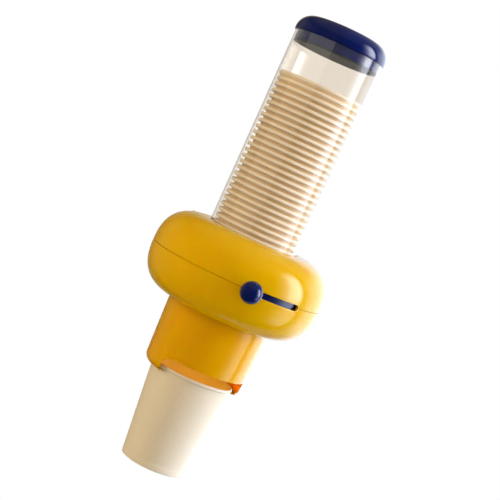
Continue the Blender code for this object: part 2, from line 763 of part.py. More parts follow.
def make_mechanism_base(axis):
    """Plate with the throat that the cups pass, the rib that the ring turns on, posts and peg slot."""
    rib_inner = RIB_OUTER - RIB_WIDTH
    throat_top = COVER_BOTTOM - GAP
    profile = [
        (THROAT_BORE, throat_top),
        (THROAT_OUTER, throat_top),
        (THROAT_OUTER, BASE_TOP),
        (rib_inner, BASE_TOP),
        (rib_inner, RIB_TOP),
        (RIB_OUTER, RIB_TOP),
        (RIB_OUTER, BASE_TOP),
        (BASE_RADIUS, BASE_TOP),
        (BASE_RADIUS, BASE_BOTTOM),
        (THROAT_OUTER, BASE_BOTTOM),
        (THROAT_OUTER, THROAT_BOTTOM),
        (THROAT_BORE, THROAT_BOTTOM),
    ]
    obj = add_part("mechanism_base", turned_mesh("mechanism_base", profile, True), acetal(), axis)
    places = quarter_places(BOSS_CIRCLE, 0.0)
    posts = rods_mesh("base_posts", places, BOSS_RADIUS, BASE_TOP - BASE_THICKNESS / 2, throat_top)
    boolean(obj, add_cutter("base_posts", posts, axis), "UNION")
    low = BASE_BOTTOM - OVERRUN
    holes = rods_mesh("base_screw_holes", places, SCREW_HOLE_RADIUS, low, throat_top + OVERRUN)
    boolean(obj, add_cutter("base_screw_holes", holes, axis))
    axle_places = [on_circle(AXLE_CIRCLE, angle) for angle in wheel_angles()]
    axle_holes = rods_mesh("base_axle_holes", axle_places, AXLE_RADIUS + GAP, low, BASE_TOP + OVERRUN)
    boolean(obj, add_cutter("base_axle_holes", axle_holes, axis))
    post_place = [on_circle(PEG_CIRCLE, spring_post_angle())]
    post_hole = rods_mesh("post_hole", post_place, PEG_RADIUS + GAP, low, BASE_TOP + OVERRUN)
    boolean(obj, add_cutter("post_hole", post_hole, axis))
    boolean(obj, make_peg_slot_cutter(axis))
    boolean(obj, make_window_cutter(axis))
    smooth(obj)


def spring_post_angle():
    return PEG_ANGLE - LEVER_TRAVEL / 2 - SPRING_POST_ANGLE


def pad_angle():
    """How far a stop pad's middle lies from the middle of the peg slot."""
    return LEVER_TRAVEL / 2 + math.degrees((PEG_RADIUS + GAP + PAD_THICKNESS / 2) / PEG_CIRCLE)


def make_peg_slot_cutter(axis):
    half_width = PEG_RADIUS + PEG_SIDE_GAP
    half_angle = pad_angle() + math.degrees((PAD_THICKNESS / 2 + GAP) / PEG_CIRCLE)
    start = PEG_ANGLE - half_angle
    end = PEG_ANGLE + half_angle
    outer = arc(PEG_CIRCLE + half_width, start, end, SLOT_STEP)
    inner = arc(PEG_CIRCLE - half_width, end, start, SLOT_STEP)
    mesh = plate_mesh("peg_slot", [outer + inner], BASE_BOTTOM - OVERRUN, BASE_TOP + OVERRUN)
    return add_cutter("peg_slot", mesh, axis)


def make_window_cutter(axis):
    """One window in the throat for each wheel's two blades."""
    low = LOWER_BLADE_BOTTOM - WINDOW_MARGIN
    high = UPPER_BLADE_TOP + WINDOW_MARGIN
    near = THROAT_BORE - OVERRUN
    far = THROAT_OUTER + OVERRUN
    window = box_mesh("window", (near, -WINDOW_HALF_WIDTH, low), (far, WINDOW_HALF_WIDTH, high))
    turns = [Matrix.Rotation(math.radians(angle), 4, "Z") for angle in wheel_angles()]
    return add_cutter("blade_windows", copies_mesh("blade_windows", window, turns), axis)


def make_mechanism_cover(axis):
    profile = [
        (SOCKET_BORE, SOCKET_TOP),
        (SOCKET_BORE + SOCKET_WALL, SOCKET_TOP),
        (SOCKET_BORE + SOCKET_WALL, COVER_TOP),
        (COVER_RADIUS, COVER_TOP),
        (COVER_RADIUS, COVER_BOTTOM),
        (THROAT_BORE, COVER_BOTTOM),
        (THROAT_BORE, COVER_TOP),
        (SOCKET_BORE, COVER_TOP),
    ]
    obj = add_part("mechanism_cover", turned_mesh("mechanism_cover", profile, True), acetal(), axis)
    low = COVER_BOTTOM - OVERRUN
    high = COVER_TOP + OVERRUN
    holes = rods_mesh("cover_screw_holes", quarter_places(BOSS_CIRCLE, 0.0), SCREW_HOLE_RADIUS, low, high)
    boolean(obj, add_cutter("cover_screw_holes", holes, axis))
    axle_places = [on_circle(AXLE_CIRCLE, angle) for angle in wheel_angles()]
    axle_holes = rods_mesh("cover_axle_holes", axle_places, AXLE_RADIUS + GAP, low, high)
    boolean(obj, add_cutter("cover_axle_holes", axle_holes, axis))
    smooth(obj)


def involute(angle):
    return math.tan(angle) - angle


def pinion_outline():
    """Involute teeth; at rest the pinion is turned with the ring from the state where a tooth points out."""
    pressure = math.radians(PRESSURE_ANGLE)
    base = PINION_PITCH_RADIUS * math.cos(pressure)
    half = (math.pi * GEAR_MODULE / 4 - BACKLASH / 2) / PINION_PITCH_RADIUS
    flank = [base, PINION_TIP_RADIUS]
    rest = -LEVER_TRAVEL / 2 * GEAR_RATIO
    points = []
    for tooth in range(PINION_TEETH):
        middle = rest + 360.0 * tooth / PINION_TEETH
        offsets = [half + involute(pressure) - involute(math.acos(base / radius)) for radius in flank]
        side = list(zip([PINION_ROOT_RADIUS] + flank, [offsets[0]] + offsets))
        points += [on_circle(radius, middle - math.degrees(offset)) for radius, offset in side]
        points += [on_circle(radius, middle + math.degrees(offset)) for radius, offset in reversed(side)]
    return points


def blade_outline(start, end):
    """A blade spans angles counted from the inward direction."""
    return [(0.0, 0.0)] + arc(BLADE_RADIUS, 180.0 + start, 180.0 + end)


def separator_wheel_mesh():
    """Pinion, hub and two blades in one moulding; its X axis points away from the tube axis."""
    pinion = plate_mesh("pinion", [pinion_outline()], RING_TOOTH_LEVEL, LOWER_BLADE_TOP - BLADE_THICKNESS / 2)
    obj = bpy.data.objects.new("separator_wheel", pinion)
    bpy.context.scene.collection.objects.link(obj)
    lower_outline = blade_outline(LOWER_BLADE_START, LOWER_BLADE_END)
    upper_outline = blade_outline(UPPER_BLADE_START, UPPER_BLADE_END)
    solids = (
        rods_mesh("wheel_hub", [(0.0, 0.0)], HUB_RADIUS, WHEEL_BOTTOM, WHEEL_TOP, 10),
        plate_mesh("lower_blade", [lower_outline], LOWER_BLADE_BOTTOM, LOWER_BLADE_TOP),
        plate_mesh("upper_blade", [upper_outline], UPPER_BLADE_BOTTOM, UPPER_BLADE_TOP),
    )
    tools = [add_cutter(mesh.name, mesh, None) for mesh in solids]
    for tool in tools:
        boolean(obj, tool, "UNION")
    low = WHEEL_BOTTOM - OVERRUN
    bore = rods_mesh("wheel_bore", [(0.0, 0.0)], AXLE_RADIUS + GAP, low, WHEEL_TOP + OVERRUN)
    tools.append(add_cutter("wheel_bore", bore, None))
    boolean(obj, tools[-1])
    made = baked(obj)
    for tool in tools:
        bpy.data.objects.remove(tool)
    return made


def make_separator_wheels(axis):
    mesh = separator_wheel_mesh()
    for number, angle in enumerate(wheel_angles(), start=1):
        place = empty(f"separator_axis_{number}", (*on_circle(AXLE_CIRCLE, angle), 0.0), axis, angle)
        add_part(f"separator_wheel_{number}", mesh, acetal(), place)
    axle = rods_mesh("wheel_axle", [(0.0, 0.0)], AXLE_RADIUS, BASE_BOTTOM, COVER_TOP)
    places = [(*on_circle(AXLE_CIRCLE, angle), 0.0) for angle in wheel_angles()]
    add_copies("wheel_axle", axle, steel(), axis, places)


def ring_tooth_near_wheel(angle):
    return any(abs((angle - wheel + 180.0) % 360.0 - 180.0) < TOOTHED_HALF_ANGLE for wheel in wheel_angles())


def ring_bore_outline():
    """The inner edge of the drive ring: straight-sided teeth where the wheels need them."""
    slope = math.tan(math.radians(PRESSURE_ANGLE))
    half = math.pi * GEAR_MODULE / 4 - BACKLASH / 2
    tip = (half - RING_ADDENDUM * slope) / RING_TIP_RADIUS
    root = (half + (RING_ROOT_RADIUS - RING_PITCH_RADIUS) * slope) / RING_ROOT_RADIUS
    points = []
    for tooth in range(RING_TEETH):
        middle = 360.0 * (tooth + 0.5) / RING_TEETH
        if not ring_tooth_near_wheel(middle):
            points.append(on_circle(RING_ROOT_RADIUS, middle))
            continue
        points.append(on_circle(RING_ROOT_RADIUS, middle - math.degrees(root)))
        points.append(on_circle(RING_TIP_RADIUS, middle - math.degrees(tip)))
        points.append(on_circle(RING_TIP_RADIUS, middle + math.degrees(tip)))
        points.append(on_circle(RING_ROOT_RADIUS, middle + math.degrees(root)))
    return points


def make_drive_ring(lever):
    outer = arc(RING_OUTER_RADIUS, 0.0, 360.0, 360.0 / ROUND_STEPS)[:-1]
    mesh = plate_mesh("drive_ring", [outer, ring_bore_outline()], RING_BOTTOM, RING_TOP)
    obj = add_part("drive_ring", mesh, navy(), lever)
    low = RING_BOTTOM - OVERRUN
    relief_radius = RING_ROOT_RADIUS + GAP
    relief = rods_mesh("ring_relief", [(0.0, 0.0)], relief_radius, low, RING_TOOTH_LEVEL, ROUND_STEPS)
    boolean(obj, add_cutter("ring_relief", relief, lever))
    lug_front = -RING_OUTER_RADIUS + GAP
    lug_low = (-LUG_HALF_WIDTH, lug_front, RING_TOP - BLADE_THICKNESS)
    lug_high = (LUG_HALF_WIDTH, lug_front + LUG_DEPTH, STEM_RADIUS + STRIP_THICKNESS)
    boolean(obj, add_cutter("ring_lug", box_mesh("ring_lug", lug_low, lug_high), lever), "UNION")
    start = (0.0, lug_front + LUG_DEPTH + OVERRUN, 0.0)
    end = (0.0, -RING_OUTER_RADIUS - OVERRUN, 0.0)
    boolean(obj, add_cutter("stem_hole", rod_between("stem_hole", start, end, STEM_RADIUS + GAP), lever))
    peg_place = [on_circle(PEG_CIRCLE, PEG_ANGLE)]
    peg_hole = rods_mesh("peg_hole", peg_place, PEG_RADIUS + GAP, low, RING_TOP + OVERRUN)
    boolean(obj, add_cutter("peg_hole", peg_hole, lever))
    smooth(obj)


def make_slot_strip(lever):
    """Band behind the slot that covers it wherever the lever stands."""
    half_length = STRIP_INNER * math.radians(STRIP_HALF_ANGLE)
    mesh = strip_mesh("slot_strip", half_length, STRIP_HALF_HEIGHT, 0.0, STRIP_THICKNESS)
    bend(mesh, STRIP_INNER)
    obj = add_part("slot_strip", mesh, navy(), lever)
    start = (0.0, -STRIP_INNER + OVERRUN, 0.0)
    end = (0.0, -STRIP_OUTER - OVERRUN, 0.0)
    boolean(obj, add_cutter("strip_hole", rod_between("strip_hole", start, end, STEM_RADIUS + GAP), lever))
    smooth(obj)


def make_lever(lever):
    lug_back = -RING_OUTER_RADIUS + GAP + LUG_DEPTH
    stem_end = -KNOB_CIRCLE + KNOB_RADIUS - KNOB_SOCKET_DEPTH
    stem = rod_between("lever_stem", (0.0, lug_back - GAP, 0.0), (0.0, stem_end, 0.0), STEM_RADIUS)
    smooth(add_part("lever_stem", stem, steel(), lever))
    bm = bmesh.new()
    bmesh.ops.create_uvsphere(bm, u_segments=16, v_segments=10, radius=KNOB_RADIUS)
    knob = add_part("lever_knob", mesh_from("lever_knob", bm), navy(), lever)
    knob.location = (0.0, -KNOB_CIRCLE, 0.0)
    start = (0.0, -KNOB_CIRCLE + KNOB_RADIUS + OVERRUN, 0.0)
    end = (0.0, stem_end - GAP, 0.0)
    boolean(knob, add_cutter("knob_socket", rod_between("knob_socket", start, end, STEM_RADIUS + GAP), lever))
    smooth(knob)
    peg_place = [on_circle(PEG_CIRCLE, PEG_ANGLE)]
    peg = rods_mesh("ring_peg", peg_place, PEG_RADIUS, PEG_FOOT, RING_TOP)
    add_part("ring_peg", peg, steel(), lever)


def make_spring(axis):
    """Extension spring under the base plate, from a fixed post to the peg of the drive ring."""
    post_place = [on_circle(PEG_CIRCLE, spring_post_angle())]
    post_mesh = rods_mesh("spring_post", post_place, PEG_RADIUS, PEG_FOOT, BASE_TOP)
    add_part("spring_post", post_mesh, steel(), axis)
    post = Vector((*post_place[0], SPRING_LEVEL))
    peg = Vector((*on_circle(PEG_CIRCLE, PEG_ANGLE - LEVER_TRAVEL / 2), SPRING_LEVEL))
    along = (peg - post).normalized()
    side = Vector((-along.y, along.x, 0.0))
    loop_radius = PEG_RADIUS + GAP + SPRING_WIRE_RADIUS
    reach = (peg - post).length
    points = hook_points(post, -along, side, loop_radius)
    coil_start = loop_radius * 2
    coil_length = reach - 2 * coil_start
    per_turn = 8
    for k in range(SPRING_TURNS * per_turn + 1):
        turn = 2 * math.pi * k / per_turn
        spot = post + along * (coil_start + coil_length * k / (SPRING_TURNS * per_turn))
        up = Vector((0.0, 0.0, 1.0)) * math.sin(turn)
        points.append(spot + (side * math.cos(turn) + up) * SPRING_COIL_RADIUS)
    points += hook_points(peg, along, side, loop_radius)[::-1]
    curve = bpy.data.curves.new("return_spring", "CURVE")
    curve.dimensions = "3D"
    curve.bevel_depth = SPRING_WIRE_RADIUS
    curve.bevel_resolution = 1
    curve.use_fill_caps = True
    spline = curve.splines.new("POLY")
    spline.points.add(len(points) - 1)
    for point, place in zip(spline.points, points):
        point.co = (*place, 1.0)
    spring = bpy.data.objects.new("return_spring", curve)
    bpy.context.scene.collection.objects.link(spring)
    add_part("return_spring", baked(spring), steel(), axis)


def hook_points(centre, away, side, radius):
    """Three quarters of a circle round a peg, that starts beside it and ends on the coil's side."""
    points = []
    for k in range(7):
        angle = math.radians(-90.0 + 200.0 * k / 6)
        points.append(centre + away * math.cos(angle) * radius + side * math.sin(angle) * radius)
    return points


def make_stop_pads(axis):
    half = PAD_THICKNESS / 2
    half_width = PAD_WIDTH / 2
    low = (PEG_CIRCLE - half_width, -half, BASE_BOTTOM)
    mesh = box_mesh("stop_pad", low, (PEG_CIRCLE + half_width, half, BASE_TOP))
    pads = add_copies("stop_pad", mesh, rubber(), axis, [(0.0, 0.0, 0.0)] * 2)
    for side, pad in zip((-1, 1), pads):
        pad.rotation_euler.z = math.radians(PEG_ANGLE + side * pad_angle())


def screw_mesh(name, length):
    """A screw that points up, with its head's seat at height zero."""
    profile = [
        (0.0, length),
        (SCREW_RADIUS, length),
        (SCREW_RADIUS, 0.0),
        (SCREW_HEAD_RADIUS, 0.0),
        (SCREW_HEAD_RADIUS, -SCREW_HEAD_HEIGHT),
        (0.0, -SCREW_HEAD_HEIGHT),
    ]
    return turned_mesh(name, profile, False, SMALL_STEPS)


def make_screws(axis):
    seat = -LOWER_HEIGHT + SCREW_RECESS - GAP
    long_screw = screw_mesh("housing_screw", HOUSING_SCREW_REACH - seat)
    places = [(x, y, seat) for x, y in quarter_places(BOSS_CIRCLE, 0.0)]
    add_copies("housing_screw", long_screw, steel(), axis, places)
    seat = NECK_FLANGE_TOP + GAP
    places = [(x, y, seat) for x, y in quarter_places(BOSS_CIRCLE, 45.0)]
    for screw in add_copies("neck_screw", screw_mesh("neck_screw", NECK_SCREW_LENGTH), steel(), axis, places):
        screw.rotation_euler.x = math.pi
    seat = bracket_screw_seat()
    places = [(x, seat, z) for x, z in bracket_screw_places()]
    short_screw = screw_mesh("bracket_screw", BRACKET_SCREW_LENGTH)
    for screw in add_copies("bracket_screw", short_screw, steel(), axis, places):
        screw.rotation_euler.x = -math.pi / 2


def bracket_screw_places():
    return [(x, z) for x in (-BRACKET_SCREW_X, BRACKET_SCREW_X) for z in (-BRACKET_SCREW_Z, BRACKET_SCREW_Z)]


def bracket_screw_seat():
    """Where the heads sit: clear of the housing's curved inner wall."""
    height = min(UPPER_HEIGHT, LOWER_HEIGHT) - HOUSING_WALL
    level = BRACKET_SCREW_Z + SCREW_HEAD_RADIUS
    share = math.cos(section_angle(level, height)) ** HOUSING_ROUNDNESS_SHARE
    radius = HOUSING_CREST_RADIUS + (HOUSING_RADIUS - HOUSING_WALL - HOUSING_CREST_RADIUS) * share
    beside = BRACKET_SCREW_X + SCREW_HEAD_RADIUS
    return math.sqrt(radius**2 - beside**2) - BRACKET_SEAT_GAP


def make_rear_bracket(axis, wall):
    """Block behind the housing: hollowed to fit it, with a T slot that drops over the wall plate's tongue."""
    wall_y = AXIS_DISTANCE
    back = wall_y - PLATE_THICKNESS - GAP
    front = back - BRACKET_DEPTH
    low = (-BRACKET_HALF_WIDTH, front, -BRACKET_HALF_HEIGHT)
    mesh = box_mesh("rear_bracket", low, (BRACKET_HALF_WIDTH, back, BRACKET_HALF_HEIGHT))
    obj = add_part("rear_bracket", mesh, yellow(), axis)
    outline = [(radius + GAP, height) for radius, height in housing_outline()]
    fit = [(0.0, outline[0][1])] + outline + [(0.0, outline[-1][1])]
    boolean(obj, add_cutter("housing_fit", turned_mesh("housing_fit", fit, False), axis))
    top = TONGUE_HALF_HEIGHT + GAP
    bottom = -BRACKET_HALF_HEIGHT - OVERRUN
    neck = TONGUE_NECK_HALF_WIDTH + GAP
    head = TONGUE_HEAD_HALF_WIDTH + GAP
    step = back - TONGUE_STEP + 2 * GAP
    slot_front = wall_y - TONGUE_FRONT - GAP
    neck_box = box_mesh("slot_neck", (-neck, step - OVERRUN, bottom), (neck, back + OVERRUN, top))
    boolean(obj, add_cutter("slot_neck", neck_box, axis))
    head_box = box_mesh("slot_head", (-head, slot_front, bottom), (head, step, top))
    boolean(obj, add_cutter("slot_head", head_box, axis))
    bm = bmesh.new()
    end = bracket_screw_seat() + BRACKET_SCREW_LENGTH + GAP
    for x, z in bracket_screw_places():
        bm.from_mesh(rod_between("bracket_pilot", (x, front - OVERRUN, z), (x, end, z), SCREW_HOLE_RADIUS))
    boolean(obj, add_cutter("bracket_pilots", mesh_from("bracket_pilots", bm), axis))
    make_wall_plate(wall)


def make_wall_plate(wall):
    low = (-PLATE_HALF_WIDTH, -PLATE_THICKNESS, -PLATE_HALF_HEIGHT)
    mesh = box_mesh("wall_plate", low, (PLATE_HALF_WIDTH, 0.0, PLATE_HALF_HEIGHT))
    obj = add_part("wall_plate", mesh, yellow(), wall)
    outline = [
        (-TONGUE_NECK_HALF_WIDTH, -PLATE_THICKNESS / 2),
        (-TONGUE_NECK_HALF_WIDTH, -PLATE_THICKNESS - TONGUE_STEP),
        (-TONGUE_HEAD_HALF_WIDTH, -PLATE_THICKNESS - TONGUE_STEP),
        (-TONGUE_HEAD_HALF_WIDTH, -TONGUE_FRONT),
        (TONGUE_HEAD_HALF_WIDTH, -TONGUE_FRONT),
        (TONGUE_HEAD_HALF_WIDTH, -PLATE_THICKNESS - TONGUE_STEP),
        (TONGUE_NECK_HALF_WIDTH, -PLATE_THICKNESS - TONGUE_STEP),
        (TONGUE_NECK_HALF_WIDTH, -PLATE_THICKNESS / 2),
    ]
    tongue = plate_mesh("wall_tongue", [outline], -TONGUE_HALF_HEIGHT, TONGUE_HALF_HEIGHT)
    boolean(obj, add_cutter("wall_tongue", tongue, wall), "UNION")
    seat = -PLATE_THICKNESS + WALL_RECESS_DEPTH
    front = -PLATE_THICKNESS - OVERRUN
    steps = (("wall_holes", WALL_HOLE_RADIUS, OVERRUN), ("wall_recesses", WALL_RECESS_RADIUS, seat))
    for name, radius, end in steps:
        bm = bmesh.new()
        for z in (-WALL_HOLE_Z, WALL_HOLE_Z):
            bm.from_mesh(rod_between(name, (0.0, front, z), (0.0, end, z), radius))
        boolean(obj, add_cutter(name, mesh_from(name, bm), wall))


def cup_wall_radius(height):
    """The outside of the paper wall at a height above the cup's foot."""
    return CUP_BASE_RADIUS + CUP_TAPER * height


def cup_mesh(name, steps):
    """One cup with its foot at height zero, its floor set up inside the foot and its rim rolled."""
    rim_level = CUP_HEIGHT - RIM_HEIGHT
    floor_top = CUP_FLOOR_RECESS + CUP_PAPER
    bulge = (RIM_RADIUS - CUP_MOUTH_RADIUS) * RIM_ROUND_SHARE
    profile = [
        (0.0, floor_top),
        (cup_wall_radius(floor_top) - CUP_PAPER, floor_top),
        (CUP_MOUTH_RADIUS - CUP_PAPER, CUP_HEIGHT),
        (RIM_RADIUS - bulge, CUP_HEIGHT),
        (RIM_RADIUS, CUP_HEIGHT - RIM_HEIGHT / 2),
        (RIM_RADIUS - bulge, rim_level),
        (cup_wall_radius(rim_level), rim_level),
        (CUP_BASE_RADIUS, 0.0),
        (CUP_BASE_RADIUS - CUP_PAPER, 0.0),
        (cup_wall_radius(CUP_FLOOR_RECESS) - CUP_PAPER, CUP_FLOOR_RECESS),
        (0.0, CUP_FLOOR_RECESS),
    ]
    return turned_mesh(name, profile, False, steps)


def make_cups(stack, outlet):
    """The next cup stands on the blades; the released one hangs by its rim in the outlet."""
    turn = math.radians(wheel_angles()[0])
    next_cup = add_part("next_cup", cup_mesh("next_cup", STACK_STEPS), paper(), stack)
    next_cup.location.z = STACK_RIM_TOP - CUP_HEIGHT
    released_cup = add_part("released_cup", cup_mesh("released_cup", CUP_STEPS), paper(), outlet)
    released_cup.location.z = RELEASED_RIM_TOP - CUP_HEIGHT
    for cup in (next_cup, released_cup):
        cup.rotation_euler.z = turn
    smooth(released_cup)


def make_cup_stack(stack):
    """The cups above the next one, nested: all the rims, the top cup's inside and the nested walls."""
    first_foot = STACK_RIM_TOP - CUP_HEIGHT + STACK_PITCH
    nested = STACK_COUNT - 1
    top_foot = first_foot + STACK_PITCH * (nested - 1)
    floor = top_foot + CUP_FLOOR_RECESS
    profile = [
        (0.0, floor + CUP_PAPER),
        (cup_wall_radius(CUP_FLOOR_RECESS) - CUP_PAPER, floor + CUP_PAPER),
        (CUP_MOUTH_RADIUS - CUP_PAPER, top_foot + CUP_HEIGHT),
    ]
    for above in range(nested):
        foot = top_foot - STACK_PITCH * above
        rim_top = foot + CUP_HEIGHT
        profile.append((RIM_RADIUS, rim_top))
        profile.append((RIM_RADIUS, rim_top - RIM_HEIGHT))
        groove = (RIM_HEIGHT + STACK_PITCH) / 2
        profile.append((cup_wall_radius(CUP_HEIGHT - groove), rim_top - groove))
    lowest_rim = first_foot + CUP_HEIGHT - RIM_HEIGHT
    profile[-1] = (cup_wall_radius(CUP_HEIGHT - RIM_HEIGHT), lowest_rim)
    bore = CUP_BASE_RADIUS - CUP_PAPER
    profile += [(CUP_BASE_RADIUS, first_foot), (bore, first_foot), (bore, floor), (0.0, floor)]
    obj = add_part("cup_stack", turned_mesh("cup_stack", profile, False, STACK_STEPS), paper(), stack)
    obj.rotation_euler.z = math.radians(wheel_angles()[0])


def main():
    clear_scene()
    wall = empty("wall_frame", (0.0, 0.0, 0.0))
    axis = empty("tube_axis", (0.0, -AXIS_DISTANCE, 0.0), wall)
    lever = empty("lever_axis", (0.0, 0.0, 0.0), axis, -LEVER_TRAVEL / 2)
    stack = empty("stack_frame", (0.0, 0.0, 0.0), axis)
    slot = make_slot_cutter(axis)
    make_upper_housing(axis, slot)
    make_lower_housing(axis, slot)
    make_outlet_neck(axis)
    make_cup_tube(axis)
    make_lid(axis)
    make_tube_seal(axis)
    make_mechanism_base(axis)
    make_mechanism_cover(axis)
    make_separator_wheels(axis)
    make_drive_ring(lever)
    make_slot_strip(lever)
    make_lever(lever)
    make_spring(axis)
    make_stop_pads(axis)
    make_screws(axis)
    make_rear_bracket(axis, wall)
    make_cups(stack, axis)
    make_cup_stack(stack)


main()
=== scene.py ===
"""Looks of the cup dispenser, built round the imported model.

Metres, +Z up, the wall at y = 0, the user at -Y.
"""

import math
import random

import bmesh
import bpy
from mathutils import Matrix, Vector

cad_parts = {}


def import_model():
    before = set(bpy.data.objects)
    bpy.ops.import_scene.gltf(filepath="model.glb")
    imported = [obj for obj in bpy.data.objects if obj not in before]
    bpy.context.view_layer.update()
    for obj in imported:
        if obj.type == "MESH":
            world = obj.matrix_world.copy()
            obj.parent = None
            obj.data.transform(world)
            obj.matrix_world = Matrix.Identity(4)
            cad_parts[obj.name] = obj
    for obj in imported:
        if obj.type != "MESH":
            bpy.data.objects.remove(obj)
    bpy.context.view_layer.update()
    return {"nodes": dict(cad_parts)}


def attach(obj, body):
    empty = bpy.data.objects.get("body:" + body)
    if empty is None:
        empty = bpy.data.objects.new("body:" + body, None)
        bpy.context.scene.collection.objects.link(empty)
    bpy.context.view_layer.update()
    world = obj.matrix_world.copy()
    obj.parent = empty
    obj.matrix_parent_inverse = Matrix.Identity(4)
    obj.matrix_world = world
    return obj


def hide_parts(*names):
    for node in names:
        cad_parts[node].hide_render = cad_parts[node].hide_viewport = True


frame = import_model()
NODES = frame["nodes"]

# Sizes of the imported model. A clearance of GAP lies between parts that fit together
AXIS = Vector((0.0, -0.0904, 0.0))
ORIGIN = Vector((0.0, 0.0, 0.0))
GAP = 0.0003

# Cups
CUP_HEIGHT, CUP_MOUTH, CUP_BASE = 0.0872, 0.0364, 0.0280
CUP_PAPER, CUP_RECESS = 0.0003, 0.0050
RIM_RADIUS, RIM_HEIGHT, RIM_HALF_WIDTH = 0.03775, 0.0030, 0.00090
INSIDE_HEIGHTS = (0.03, 0.06)
OUTSIDE_HEIGHTS = (0.0825, 0.0780, 0.0650, 0.0500, 0.0350, 0.0200, 0.0080, 0.0060, 0.0056, 0.0012)
CRIMP_LOW, CRIMP_TOP, CRIMP_DEPTH = 0.0057, 0.0075, 0.00012
SEAM_HALF_WIDTH, SEAM_SLOPE, SEAM_LIFT = 0.0045, 0.0006, 0.00022
SEAM_LOW, SEAM_TOP, SEAM_DEPTH = 0.002, CUP_HEIGHT - RIM_HEIGHT - 0.0005, 0.00016
SEAM_STEPS, SEAM_STEPS_RADIUS, SEAM_LEAST_RADIUS = (0.0036, 0.0040, 0.0043, 0.0046), 0.032, 0.01
STACK_COUNT, STACK_PITCH, STACK_RIM_TOP = 32, 0.0055, 0.0045
STACK_INSET, STACK_WALL_TOP, STACK_SHIFT, STACK_LEAN = 0.0012, CUP_HEIGHT - 0.0034, 0.00022, 0.22
RELEASED_RIM_TOP = -0.0920
RELEASED_SEAM, NEXT_SEAM = 150, 40

# Tube and lid
TUBE_RADIUS, TUBE_WALL, TUBE_LOW, TUBE_TOP = 0.0400, 0.0015, 0.0108, 0.2160
LID_RADIUS, LID_TOP, LID_EDGE, LID_SHELL = 0.0412, 0.2295, 0.2115, 0.0020
LID_CROWN, LID_ROUND = 0.0020, 0.0140
LID_INSIDE = ((0.0360, TUBE_TOP + GAP), (0.0300, LID_TOP - 0.0060), (0.0, LID_TOP - LID_SHELL))
PLUG_RADIUS, PLUG_WALL, PLUG_FOOT = TUBE_RADIUS - TUBE_WALL - GAP, 0.0018, 0.2038
SEAL_LOW, SEAL_THICKNESS = TUBE_TOP - 0.0137, 0.0012

# Housing. Its section is a superellipse from the crest to the parting plane at z = 0
HOUSING_RADIUS, CREST_RADIUS = 0.0776, 0.0420
UPPER_HEIGHT, LOWER_HEIGHT, HOUSING_WALL = 0.0360, 0.0370, 0.0025
ROUNDNESS = 0.8
HOUSING_FLOOR = -0.0319
TUBE_HOLE_LIP = ((0.0405, 0.0351), (0.0406, 0.0356), (0.0410, 0.0359))
PARTING_EDGE, PARTING_ROUND, PARTING_FACE = 0.0006, 0.00045, 0.00015
REBATE_TOP, TONGUE_TOP = 0.0021, 0.0018

# Outlet neck
NECK_TOP_RADIUS, NECK_FOOT_RADIUS, NECK_WALL = 0.0452, 0.0436, 0.0022
FLANGE_RADIUS, FLANGE_TOP, FLANGE_LOW = 0.0574, -0.0296, -0.0316
NECK_BEND, NECK_BOTTOM, NECK_FOOT_ROUND = -0.0430, -0.0980, 0.0080
NECK_EASE_LEVEL, NECK_EASE = -0.0550, 0.0004
SEAT_LEVEL, SEAT_BORE, SEAT_WALL_TOP, SEAT_LIP = -0.0953, 0.0386, -0.0924, 0.0365
NOTCH_HALF, NOTCH_TOP, NOTCH_ROUND = 0.0398, -0.0828, 0.0070
NOTCH_FRONT, NOTCH_BACK = AXIS.y - 0.060, AXIS.y - 0.002

# Lever and its slot
LEVER_REST = math.radians(-17.0)
SLOT_HALF_HEIGHT, SLOT_HALF_ANGLE = 0.00265, 19.7
SLOT_OUT, SLOT_IN = HOUSING_RADIUS + 0.0030, HOUSING_RADIUS - 0.0060
STRIP_INNER, STRIP_OUTER, STRIP_HALF_HEIGHT, STRIP_HALF_ANGLE = 0.0732, 0.0742, 0.0042, 35.5
STRIP_HOLE_FROM, STRIP_HOLE_DEPTH = 0.070, 0.01
KNOB_RADIUS, KNOB_CIRCLE, KNOB_COLLAR = 0.0095, 0.0880, 0.0034
STEM_RADIUS, STEM_FROM, STEM_TO = 0.0022, 0.0679, 0.0830

# How finely the shapes are made, and where their edges are sharp
ROUND_STEPS, CUP_STEPS, STEM_STEPS, HOLE_STEPS = 192, 96, 48, 32
SECTION_STEPS = 800
SHARP_ANGLE, COPY_SHARP_ANGLE, BEVEL_ANGLE = 38.0, 30.0, 50.0
CUT_EDGE, NOTCH_EDGE, COPY_EDGE = 0.0003, 0.0004, 0.0005
MERGE_DISTANCE, COPY_MERGE_DISTANCE = 1e-7, 0.00001

# Colours, and the radii between which the stack's paper turns to painted shade
# The neck's yellow is the housing's plastic made darker and more orange, painted shade under the housing
YELLOW_COLOUR, SHADED_YELLOW_COLOUR = (0.79, 0.445, 0.0003), (0.80, 0.395, 0.0003)
NAVY_COLOUR, ACETAL_COLOUR = (0.004, 0.010, 0.095), (0.78, 0.77, 0.73)
PAPER_LIGHT, PAPER_DARK = (0.82, 0.705, 0.54), (0.79, 0.67, 0.50)
# The stack's paper is a lighter copy of the cup paper, painted light on the rims; its brown is painted shade
# in the recesses between the rims
STACK_BRIGHTENED_LIGHT, STACK_BRIGHTENED_DARK, STACK_SHADE_BROWN = (0.86, 0.76, 0.62), (0.83, 0.725, 0.58), (0.73, 0.53, 0.29)
SHADE_FROM_RADIUS, SHADE_TO_RADIUS = 0.0360, 0.0373
CLEAR_COLOUR, CLEAR_SHADOW = (0.926, 0.873, 0.80), (1.0, 0.99, 0.97)
STEEL_DARK, STEEL_LIGHT = (0.50, 0.50, 0.51), (0.66, 0.66, 0.67)
RUBBER_DARK, RUBBER_LIGHT = (0.008, 0.017, 0.013), (0.013, 0.026, 0.020)
FLOOR_COLOUR = (0.84, 0.84, 0.84)
WHITE = (1.0, 1.0, 1.0)
ORANGE_PEEL = 0.00002

